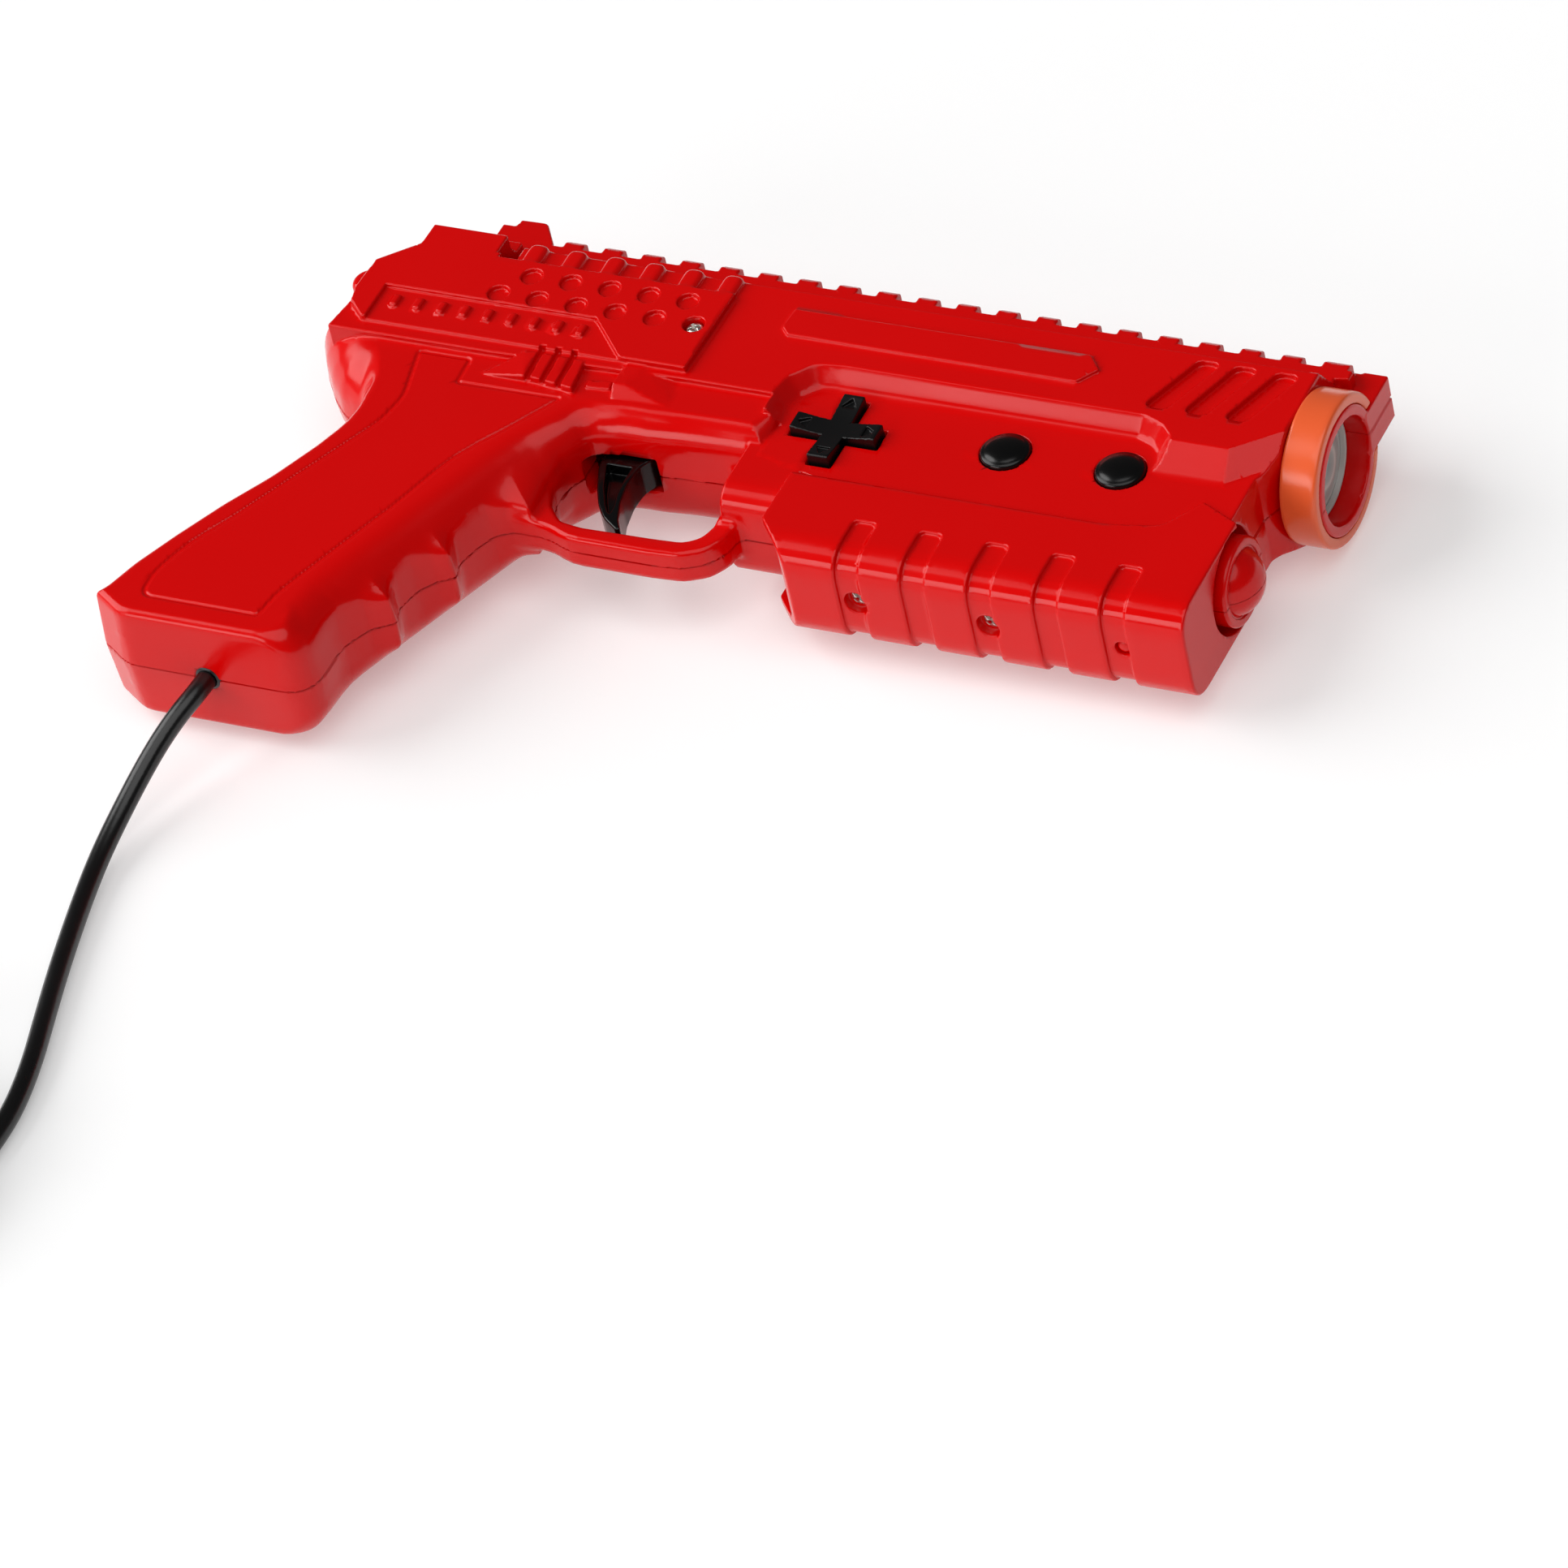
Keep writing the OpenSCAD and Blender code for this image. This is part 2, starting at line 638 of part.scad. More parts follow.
// Screws that hold the three circuit boards on their posts
module board_screws() color("silver") lay() {
    for (p = right_board_posts)
        translate([p[0], p[1], board_z - 1.6]) mirror([0, 0, 1]) screw(2, 0.95, 6.5);
    for (p = left_board_posts)
        translate([p[0], p[1], 1.6 - board_z]) screw(2, 0.95, 6.5);
    for (p = main_board_posts)
        translate([p[0], p[1], -2.6]) mirror([0, 0, 1]) screw(2, 0.95, 7);
}

// Rubber grommet in the grip's bottom
module cord_grommet() color([0.06, 0.06, 0.06]) lay() {
    translate([cord_exit[0], -144.4, 0]) rotate([90, 0, 0]) difference() {
        union() {
            cylinder(r = 3.35, h = 3.6);
            translate([0, 0, -0.9]) cylinder(r = 4.6, h = 0.9);
        }
        translate([0, 0, -3]) cylinder(r = lead_d / 2, h = 10);
    }
}

// Bar with two screws that clamps the lead inside the grip
module cord_clamp() color([0.12, 0.12, 0.12]) lay() {
    translate([-31, -140, lead_d / 2]) difference() {
        cube([19, 6, 3]);
        for (x = [2.4, 16.6])
            translate([x, 3, -1]) cylinder(r = 1.3, h = 6);
    }
}

module clamp_screws() color("silver") lay() {
    for (x = [-28.6, -14.4])
        translate([x, -137, lead_d / 2 + 4.6]) screw(2.2, 1.15, 8);
}

// Unit vector, the route's direction at point i, and a ring of points square to it
function unit(v) = v / norm(v);
function along(p, i) =
    i == 0 ? unit(p[1] - p[0])
    : i == len(p) - 1 ? unit(p[i] - p[i - 1])
    : unit(p[i + 1] - p[i - 1]);
function ring_points(c, d, r, n) =
    let(side = unit(cross([0, 0, 1], d)), up = cross(d, side))
    [for (k = [0 : n - 1]) c + r * (cos(360 * k / n) * side + sin(360 * k / n) * up)];

// Round tube along a list of points
module swept_tube(p, r, n) {
    rings = [for (i = [0 : len(p) - 1]) each ring_points(p[i], along(p, i), r, n)];
    last = (len(p) - 1) * n;
    walls = [for (i = [0 : len(p) - 2], k = [0 : n - 1])
        [i * n + k, (i + 1) * n + k, (i + 1) * n + (k + 1) % n, i * n + (k + 1) % n]];
    start_cap = [for (k = [0 : n - 1]) k];
    end_cap = [for (k = [n - 1 : -1 : 0]) last + k];
    polyhedron(rings, concat([start_cap], walls, [end_cap]));
}

module lead() color([0.05, 0.05, 0.05]) lay() swept_tube(lead_route, lead_d / 2, 8);

// Outer shape of the wound length
module lead_coil() color([0.05, 0.05, 0.05]) lay() {
    translate([coil_middle[0], coil_middle[1], table_z + 0.05]) rotate_extrude($fn = 96)
        translate([coil_mean_r - coil_half_width, 0])
            square([2 * coil_half_width, coil_height]);
}

// Band over the coil
module lead_tie() color([0.1, 0.1, 0.1]) lay() {
    inner = coil_half_width + 0.5;
    translate([coil_middle[0] - coil_mean_r, coil_middle[1] - 3, table_z]) difference() {
        translate([-inner - tie_thick, 0, 0.05])
            cube([2 * (inner + tie_thick), 6, coil_height + 0.1 + tie_thick]);
        translate([-inner, -1, -1])
            cube([2 * inner, 8, coil_height + 1.1]);
    }
}

// Plug that lies on the coil, over its far side
module usb_plug() color([0.07, 0.07, 0.07]) lay() {
    translate([coil_middle[0] - plug_size[0] / 2, coil_middle[1] + 17, table_z + coil_height + 0.05])
        cube(plug_size);
}

module usb_tongue() color("silver") lay() {
    translate([coil_middle[0] + plug_size[0] / 2, coil_middle[1] + 18.5,
        table_z + coil_height + 1.8]) cube([12, 12, 4.5]);
}

right_shell();
left_shell();
fore_end_cover();
muzzle_ring();
lens();
camera_tube();
camera_board();
main_board();
right_switch_board();
left_switch_board();
dpad();
dpad_pivot();
dpad_membrane();
right_front_button();
right_rear_button();
left_front_button();
left_rear_button();
button_membranes();
trigger();
trigger_pin();
trigger_spring();
trigger_switch();
shell_screws();
panel_screw();
cover_screws();
cover_plug();
board_screws();
cord_grommet();
cord_clamp();
clamp_screws();
lead();
lead_coil();
lead_tie();
usb_plug();
usb_tongue();
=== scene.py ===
"""Looks of the light gun: casing halves, cover and controls as finished mouldings, with the lead.

Lengths are millimetres in the gun's design frame (x along the barrel to the muzzle, y from the grip
to the rail, z out of the side with the direction pad, z = 0 on the parting plane) until row() turns
them into metres of the row frame.
"""
import json
import math

import bmesh
import bpy
import numpy as np
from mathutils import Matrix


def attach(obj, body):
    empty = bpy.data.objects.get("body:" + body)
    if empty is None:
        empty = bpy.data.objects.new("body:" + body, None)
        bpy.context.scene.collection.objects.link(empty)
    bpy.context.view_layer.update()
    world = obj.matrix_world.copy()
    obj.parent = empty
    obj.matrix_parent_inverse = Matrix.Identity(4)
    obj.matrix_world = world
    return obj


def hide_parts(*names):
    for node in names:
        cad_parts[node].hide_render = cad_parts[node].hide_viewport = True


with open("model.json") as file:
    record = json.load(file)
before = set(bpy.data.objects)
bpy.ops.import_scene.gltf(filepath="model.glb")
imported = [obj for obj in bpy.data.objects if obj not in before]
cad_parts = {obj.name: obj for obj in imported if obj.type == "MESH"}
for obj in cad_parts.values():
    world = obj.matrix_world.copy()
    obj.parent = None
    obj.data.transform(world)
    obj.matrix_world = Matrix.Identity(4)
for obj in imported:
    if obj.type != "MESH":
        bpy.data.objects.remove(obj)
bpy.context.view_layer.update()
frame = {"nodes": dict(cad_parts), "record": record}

import openvdb
from mathutils import Matrix, Vector

# ---------------------------------------------------------------- places
PANEL_HALF = 19.0
MIDDLE = np.array([76.0, -72.0, -PANEL_HALF])


def row(point):
    """A point of the design frame in metres of the row frame."""
    return Vector((np.array(point, float) - MIDDLE) / 1000)


SLIDE_HALF = 17.0
GRIP_HALF = 15.5
POCKET_HALF = 12.4
RAIL_HALF = 10.0
GUARD_HALF = 4.5
BAR_HALF = 5.9
WALL = 2.4
AXIS_Y = -24.45
DOME_Y = -64.0
SLIDE_FRONT = 194.8
DPAD = (93.0, -51.4)
RIGHT_BUTTONS = [(133.1, -48.6), (161.1, -48.6)]
LEFT_BUTTONS = [(108.0, -48.6), (136.0, -48.6)]
COVER_SCREWS = [112.9, 145.2, 177.5]
COVER_HALF = 13.0
COVER_BOTTOM = -91.5
CORD_EXIT = (-21.7, -147.8, 0)
TRIGGER_AXIS = (48.5, -54.5)
PANEL_SCREW = (48.5, -30.6)
SHELL_SCREWS = [(-30, -30), (66, -52), (184, -50), (-34, -125), (2, -84), (152, -24)]
DIMPLE_PITCH = 9.97

# ---------------------------------------------------------------- camera
camera_data = bpy.data.cameras.new("camera")
camera_data.sensor_width = 36
camera_data.lens = 227.19
camera_data.clip_start = 0.1
camera = bpy.data.objects.new("camera", camera_data)
right = Vector((0.8946, 0.4106, -0.1764))
down = Vector((0.1622, -0.6661, -0.7280))
ahead = Vector((-0.4164, 0.6227, -0.6625))
turn = Matrix((right, -down, -ahead)).transposed().to_quaternion().to_matrix()
camera.matrix_world = Matrix.Translation(row((1012.5, -1480.3, 1417.4))) @ turn.to_4x4()
bpy.context.scene.collection.objects.link(camera)
bpy.context.scene.camera = camera

# ---------------------------------------------------------------- lead
LEAD_D = 4.8
LEAD_Z = -PANEL_HALF + LEAD_D / 2 + 0.05
COIL = (-49.0, -300.0)
COIL_R = 27.0
COIL_STEP = 4.85
PLUG_REAR = (-62.0, -275.5, -0.55)
BEND_R = 20.0
LEAD_ROUTE = [
    (-21.7, -140, 0), (-21.8, -147.8, 0), (-22.4, -153, -0.4), (-24.3, -158, -2),
    (-26.6, -164, -5), (-28.6, -171, -8.7), (-30, -179, -12.3), (-30.5, -188, -15),
    (-29.7, -197, -16.3), (-27, -210, LEAD_Z), (-23.3, -225, LEAD_Z), (-19.4, -239, LEAD_Z),
    (-15, -254, LEAD_Z), (-12.4, -267, LEAD_Z), (-12, -277, LEAD_Z), (-12.6, -287, LEAD_Z),
]


def coil_points():
    """The wound turns: four rows beside each other, in three layers, the last turn only begun."""
    rows, layer_turns = 4, [4, 4, 2.375]
    per_turn = 24  # points
    outer = COIL_R + (rows - 1) / 2 * COIL_STEP
    found, angle = [], 0.0
    for layer, turns in enumerate(layer_turns):
        inwards = -1 if layer % 2 == 0 else 1
        start = outer if layer % 2 == 0 else outer - (rows - 1) * COIL_STEP
        for step in range(round(turns * per_turn)):
            # a turn keeps its radius, and crosses to the next row over its last quarter
            whole, part = divmod(step / per_turn, 1)
            shift = max(0.0, (part - 0.75) / 0.25)
            shift = shift * shift * (3 - 2 * shift)
            last = whole == rows - 1
            radius = start + inwards * COIL_STEP * (whole + (0 if last else shift))
            height = LEAD_D * (layer + (shift if last else 0))
            if layer == 2 and whole == 2:
                # the last turn climbs onto the outer rows
                rise = min(1.0, part / 0.33)
                height += LEAD_D * rise * rise * (3 - 2 * rise)
            found.append((COIL[0] + radius * math.cos(angle), COIL[1] + radius * math.sin(angle),
                          LEAD_Z + height))
            angle -= 2 * math.pi / per_turn
    return found


def plug_end_points():
    """From the last turn over the band in a wide bend to the plug's rear end."""
    centre = (PLUG_REAR[0], PLUG_REAR[1] - BEND_R)
    top_layer = LEAD_Z + 3 * LEAD_D
    found = [(-70.2, -314.5, top_layer + 0.25)]
    for k in range(10):
        share = k / 9
        turn_at = math.radians(226 - 136 * share)
        found.append((centre[0] + BEND_R * math.cos(turn_at), centre[1] + BEND_R * math.sin(turn_at),
                      top_layer + 0.4 + (PLUG_REAR[2] - top_layer - 0.4) * share))
    return found + [(PLUG_REAR[0] + 1.5, PLUG_REAR[1], PLUG_REAR[2])]


lead_line = LEAD_ROUTE + coil_points() + plug_end_points()


def poly_curve(name, points, radius, resolution=12):
    """A smooth round cord along the points."""
    curve = bpy.data.curves.new(name, "CURVE")
    curve.dimensions = "3D"
    curve.bevel_depth = radius / 1000
    curve.bevel_resolution = 6
    curve.resolution_u = resolution
    curve.use_fill_caps = True
    spline = curve.splines.new("NURBS")
    spline.points.add(len(points) - 1)
    for knot, point in zip(spline.points, points):
        knot.co = (*row(point), 1)
    spline.order_u = 3
    spline.use_endpoint_u = True
    made = bpy.data.objects.new(name, curve)
    bpy.context.scene.collection.objects.link(made)
    return made


cord_piece = poly_curve("lead_cord", lead_line, LEAD_D / 2, 4)


# ---------------------------------------------------------------- signed distance fields
def smooth_corners(points, radius):
    """The outline with each corner turned into an arc. radius is one number, or one for each point."""
    points = np.array(points, float)
    count = len(points)
    radii = np.broadcast_to(radius, (count,))
    out = []
    for i in range(count):
        here, before, after = points[i], points[i - 1], points[(i + 1) % count]
        a, b = before - here, after - here
        la, lb = np.linalg.norm(a), np.linalg.norm(b)
        cosine = float(np.clip(a @ b / (la * lb), -0.9999, 0.9999))
        half = math.acos(cosine) / 2
        reach = min(radii[i] / math.tan(half), 0.48 * la, 0.48 * lb)
        if reach < 0.05:
            out.append(here)
            continue
        p, q = here + a / la * reach, here + b / lb * reach
        steps = max(2, int(math.degrees(math.pi - 2 * half) / 12))
        for k in range(steps + 1):
            t = k / steps
            out.append((1 - t) ** 2 * p + 2 * t * (1 - t) * here + t * t * q)
    return out


def outline_distance(points, x, y):
    """Signed distance to a closed outline, below zero inside."""
    points = np.array(points, np.float32)
    best = np.full(np.broadcast(x, y).shape, 1e9, np.float32)
    inside = np.zeros(best.shape, bool)
    for a, b in zip(points, np.roll(points, -1, 0)):
        ex, ey = b - a
        wx, wy = x - a[0], y - a[1]
        t = np.clip((wx * ex + wy * ey) / max(ex * ex + ey * ey, 1e-9), 0, 1)
        best = np.minimum(best, (wx - t * ex) ** 2 + (wy - t * ey) ** 2)
        if ey != 0:
            crosses = ((a[1] <= y) & (b[1] > y)) | ((b[1] <= y) & (a[1] > y))
            inside ^= crosses & (wx < ex * wy / ey)
    return np.where(inside, -np.sqrt(best), np.sqrt(best))


def rim(a, b, radius):
    """Where two distances are both below zero, with the edge between them rounded."""
    a, b = a + radius, b + radius
    outside = np.sqrt(np.maximum(a, 0) ** 2 + np.maximum(b, 0) ** 2)
    return np.minimum(np.maximum(a, b), 0) + outside - radius


class Shape:
    """A distance function with the box that it matters in."""

    def __init__(self, low, high, distance):
        self.low, self.high, self.distance = low, high, distance


def slab(points, z0, z1, edge=0.35, facets=()):
    """A plate with that outline and rounded edges. Each facet, three points, slants its top."""
    flat = np.array(points)
    planes = []
    for a, b, c in facets:
        normal = np.cross(np.subtract(b, a), np.subtract(c, a))
        normal *= np.sign(normal[2]) / np.linalg.norm(normal)
        planes.append((*normal, float(normal @ np.array(a, float))))

    def distance(x, y, z):
        faces = np.maximum(z0 - z, z - z1)
        for nx, ny, nz, level in planes:
            faces = np.maximum(faces, nx * x + ny * y + nz * z - level)
        return rim(outline_distance(flat, x, y), faces, edge)
    return Shape((*flat.min(0), z0), (*flat.max(0), z1), distance)


def well(points, z0, z1, slope, edge=0.35):
    """A space with that outline at z1 whose walls lean in by slope times the depth, down to z0."""
    flat = np.array(points)
    lean = 1 / math.hypot(1, slope)

    def distance(x, y, z):
        side = (outline_distance(flat, x, y) + slope * (z1 - z)) * lean
        return rim(side, z0 - z, edge)
    return Shape((*flat.min(0), z0), (*flat.max(0), z1 + 3), distance)


def rod(axis, centre, a0, a1, radius, edge=0.3):
    """A cylinder along x, y or z from a0 to a1. centre holds its other two coordinates."""
    low, high = [0.0] * 3, [0.0] * 3
    others = [k for k in range(3) if k != axis]
    low[axis], high[axis] = a0, a1
    for k, c in zip(others, centre):
        low[k], high[k] = c - radius, c + radius

    def distance(*at):
        across = np.sqrt((at[others[0]] - centre[0]) ** 2 + (at[others[1]] - centre[1]) ** 2)
        return rim(across - radius, np.maximum(a0 - at[axis], at[axis] - a1), edge)
    return Shape(low, high, distance)


def ball(centre, radius, squeeze=(1, 1, 1)):
    """A ball, squeezed along x, y and z."""
    least = min(squeeze)

    def distance(*at):
        total = sum(((a - c) / s) ** 2 for a, c, s in zip(at, centre, squeeze))
        return (np.sqrt(total) - radius) * least
    reach = [radius * s for s in squeeze]
    return Shape([c - r for c, r in zip(centre, reach)], [c + r for c, r in zip(centre, reach)],
                 distance)


def half_space(normal, point, low, high):
    """What lies beyond a plane, in the direction of its normal, within a box."""
    unit = np.array(normal, float) / np.linalg.norm(normal)
    level = float(unit @ np.array(point, float))

    def distance(x, y, z):
        return level - (unit[0] * x + unit[1] * y + unit[2] * z)
    return Shape(low, high, distance)


def profile_x(points, x0, x1, edge=0.35):
    """A bar along x whose section is an outline of (y, z) points."""
    flat = np.array(points)

    def distance(x, y, z):
        return rim(outline_distance(flat, y, z), np.maximum(x0 - x, x - x1), edge)
    return Shape((x0, *flat.min(0)), (x1, *flat.max(0)), distance)


def melt(a, b, size):
    """The smaller of two distances, with a fillet of about that size between them."""
    if size <= 0:
        return np.minimum(a, b)
    share = np.maximum(size - np.abs(a - b), 0) / size
    return np.minimum(a, b) - share * share * size / 4


class Moulding:
    """A solid held as distances on a grid, built up by join and cut, then turned into a mesh."""

    def __init__(self, low, high, step):
        self.low, self.step = np.array(low, float), step
        counts = np.ceil((np.array(high) - self.low) / step).astype(int) + 1
        self.axes = [
            (self.low[k] + step * np.arange(counts[k])).astype(np.float32) for k in range(3)]
        self.field = np.full(counts, 4.0, np.float32)

    def window(self, shape, margin):
        """The part of the grid near a shape, and its coordinates along the three axes."""
        picked, at = [], []
        for k, axis in enumerate(self.axes):
            i = int(np.searchsorted(axis, shape.low[k] - margin))
            j = int(np.searchsorted(axis, shape.high[k] + margin))
            picked.append(slice(i, j))
            size = [1, 1, 1]
            size[k] = j - i
            at.append(axis[i:j].reshape(size))
        return tuple(picked), at

    def join(self, shape, fillet=0.0):
        where, at = self.window(shape, 2.5 + fillet)
        if self.field[where].size:
            self.field[where] = melt(self.field[where], shape.distance(*at), fillet)
        return self

    def cut(self, shape, fillet=0.0):
        where, at = self.window(shape, 2.5 + fillet)
        if self.field[where].size:
            self.field[where] = -melt(-self.field[where], shape.distance(*at), fillet)
        return self

    def copy(self):
        twin = object.__new__(Moulding)
        twin.low, twin.step, twin.axes = self.low, self.step, self.axes
        twin.field = self.field.copy()
        return twin

    def sample(self, field, points):
        """The field's value at points given in grid steps."""
        top = np.array(field.shape) - 1.001
        points = np.clip(points, 0, top)
        corner = points.astype(int)
        share = points - corner
        total = np.zeros(len(points))
        for dx in (0, 1):
            for dy in (0, 1):
                for dz in (0, 1):
                    weight = np.abs(1 - dx - share[:, 0]) * np.abs(1 - dy - share[:, 1])
                    weight = weight * np.abs(1 - dz - share[:, 2])
                    total += weight * field[corner[:, 0] + dx, corner[:, 1] + dy, corner[:, 2] + dz]
        return total

    def slope(self, points):
        """The field's gradient at points given in grid steps."""
        found = np.empty((len(points), 3))
        for k in range(3):
            shift = np.zeros(3)
            shift[k] = 0.5
            found[:, k] = (self.sample(self.field, points + shift)
                           - self.sample(self.field, points - shift))
        return found

    def mesh(self, name, parting=None, mirrored=False, adaptivity=0.0):
        """A smooth mesh of the solid. parting is the height of a flat cut with a crisp edge."""
        field = np.clip(self.field, -3.0, 3.0)
        if parting is not None:
            field = np.maximum(field, parting - self.axes[2].reshape(1, 1, -1))
        grid = openvdb.FloatGrid(background=3.0)
        grid.copyFromArray(field)
        points, triangles, quads = grid.convertToPolygons(isovalue=0, adaptivity=adaptivity)
        points = points.astype(float)
        flat = np.zeros(len(points), bool)
        if parting is not None:
            level = (parting - self.low[2]) / self.step
            flat = points[:, 2] < level + 0.3
            points[flat, 2] = level
            # the cut's rim is moved out onto the solid's own surface
            for _ in range(2):
                near = points[flat]
                value = self.sample(self.field, near)
                slope = self.slope(near)
                slope[:, 2] = 0
                pull = np.where(np.abs(value) < 0.9 * self.step, value, 0)
                near -= pull[:, None] * slope / np.maximum((slope ** 2).sum(1), 0.05)[:, None]
                points[flat] = near
        normals = self.slope(points)
        normals /= np.maximum(np.linalg.norm(normals, axis=1), 1e-6)[:, None]
        points = points * self.step + self.low
        if mirrored:
            points[:, 2] *= -1
            normals[:, 2] *= -1
            triangles, quads = triangles[:, ::-1], quads[:, ::-1]
        points = (points - MIDDLE) / 1000
        data = bpy.data.meshes.new(name)
        corners = np.concatenate([quads.ravel(), triangles.ravel()]).astype(np.int32)
        sizes = np.concatenate([np.full(len(quads), 4), np.full(len(triangles), 3)]).astype(np.int32)
        starts = np.concatenate([[0], np.cumsum(sizes)[:-1]]).astype(np.int32)
        data.vertices.add(len(points))
        data.vertices.foreach_set("co", points.astype(np.float32).ravel())
        data.loops.add(len(corners))
        data.loops.foreach_set("vertex_index", corners)
        data.polygons.add(len(sizes))
        data.polygons.foreach_set("loop_start", starts)
        data.update(calc_edges=True)
        data.shade_smooth()
        facing = normals[corners]
        on_cut = np.concatenate([flat[quads].all(1), flat[triangles].all(1)])
        facing[np.repeat(on_cut, sizes)] = (0, 0, 1 if mirrored else -1)
        data.normals_split_custom_set(facing.astype(np.float32))
        made = bpy.data.objects.new(name, data)
        bpy.context.scene.collection.objects.link(made)
        return made


STEP = 0.4
SEAM = 0.07  # half of the gap along the parting line
DRAFT = 0.07  # how far the grip's sides lean in for each millimetre of height

# ---------------------------------------------------------------- outlines (x, y), seen from the right
grip_back = [
    (-30, -31), (-39, -32), (-44.5, -37), (-44.2, -42.5), (-40.5, -48.8), (-36, -54.6),
    (-31.5, -59), (-27, -61.4), (-22.4, -63.4), (-20, -68), (-20.2, -75), (-23.6, -84.3),
    (-29.1, -96.2), (-35.6, -107.2),
    (-41.7, -119.3), (-46.8, -130.5), (-49.5, -138.8), (-51.6, -142), (-41.9, -148), (4.4, -148),
]
back_bends = [1, 4, 4, 5, 10, 10, 8, 6, 5, 8, 20, 30, 40, 40, 40, 30, 10, 5, 8, 9]
frame_front = [
    (36, -63.5), (42, -62.2), (48.3, -62.2), (56.2, -61.5), (68, -61), (79.5, -61), (79.5, -44),
    (20, -43), (-8, -33),
]
front_bends = [4, 20, 20, 20, 20, 1, 1, 1, 1]
# along the middle, three narrow ridges stand between the finger hollows
grip_outline = smooth_corners(grip_back + [
    (4.4, -131), (8, -124.4), (13, -121), (11.3, -116.5), (13, -110), (16, -106.3),
    (19.6, -104), (18.4, -99.5), (20, -94), (22, -89.5), (25.8, -86.8), (31, -86), (31, -76), (32, -70),
] + frame_front, back_bends + [10, 4, 1.2, 5, 6, 4, 1.2, 4, 6, 4, 2, 1, 1, 4] + front_bends)
grip_plain_outline = smooth_corners(grip_back + [
    (5.4, -130), (10.4, -117.5), (15.4, -105.5), (20.2, -94), (25.2, -82), (29, -74),
] + frame_front, back_bends + [20, 30, 40, 40, 30, 10] + front_bends)
slide_outline = [
    (-37.5, -48.1), (-36, -38.5), (-36, -27), (-27.5, -18.5), (-27.5, -6.5), (-4, -6.5),
    (-4, -3), (196, -3), (SLIDE_FRONT, -13), (SLIDE_FRONT, -37), (191.8, -44.3), (191.8, -52), (75.3, -52),
    (75.3, -46.6), (54.4, -46.6), (5, -48.1),
]
panel_outline = [
    (-35.9, -36), (-35.5, -25.9), (-27.4, -18.2), (-27.3, -11.4), (-7, -11.4), (-7, -18.6),
    (53.4, -18.6), (53, -44.9), (-30, -44.9), (-34.8, -40.4),
]
channel_outline = [(-28.9, -33.5), (25, -33.5), (36.5, -45.2), (-28.9, -45.2)]
pocket_outline = smooth_corners([
    (79, -110), (79, -62), (76.6, -54.5), (75.2, -46.5), (76.4, -40.5), (81, -35.2), (87, -34.4),
    (161.3, -34.4), (166.8, -36.4), (170.2, -39.8), (171.6, -44), (171.6, -52), (230, -52), (230, -110),
], [1, 8, 10, 5, 4, 5, 5, 4, 5, 4, 4, 1, 1, 1])
guard_outer = smooth_corners([
    (20, -86), (28, -86.4), (35.6, -87.5), (41, -89.9), (61.3, -89.9), (69, -89.4), (74.5, -86.6),
    (77.8, -81.4), (78.2, -74), (78.2, -58), (20, -58),
], [1, 6, 12, 14, 20, 8, 6, 8, 10, 1, 1])
guard_inner = smooth_corners([
    (31, -62), (31, -76), (33.2, -80.4), (37.4, -84.6), (43, -85.4), (60, -85.1), (68, -84.7),
    (71.6, -82.5), (73.2, -76.5), (71.4, -71), (70, -58), (36, -58),
], [1, 4, 4, 4, 10, 20, 5, 5, 6, 8, 1, 1])
bulge_section = smooth_corners([(-44, -12.4), (-44, 12.4), (-77, 12.4), (-77, -12.4)], [0.1, 0.1, 7, 7])
fore_outline = [
    (78, -44), (78, -62), (95, -66.5), (182, -66.5), (191.8, -58.2),
    (191.8, -44.3), (SLIDE_FRONT, -37), (SLIDE_FRONT, -33), (90, -33),
]
inner_fore_outline = [(86, -60), (88, -76), (97, -88.8), (181.5, -88.8), (181.5, -60)]


def graded(value, start, end):
    """Rises smoothly from 0 at start to 1 at end."""
    share = np.clip((value - start) / (end - start), 0, 1)
    return share * share * (3 - 2 * share)


def graded_edge(x, y):
    """Radius of the grip's edges: small along the back strap, large along the front and on the tail."""
    front = np.maximum(26 - (-72 - y) * 0.415, 4.5)
    start = front - 22 + 10 * graded(-y, 128, 145)
    along_front = graded(x, start, start + 12)
    along_front = along_front * (1 - np.clip((y + 58) / 6, 0, 1))
    tail = graded(-x, 15, 25) * graded(y, -69, -59)
    return 2.0 + (5.2 + 1.2 * (1 - np.clip((y + 75) / 10, 0, 1))) * along_front + 9.5 * tail


def grip_distance(x, y, z):
    ridged = outline_distance(grip_outline, x, y)
    plain = outline_distance(grip_plain_outline, x, y)
    share = graded(np.abs(z), 6, 13)
    side = ridged + (plain - ridged) * share + DRAFT * np.abs(z)
    return rim(side, z - GRIP_HALF, graded_edge(x, y))


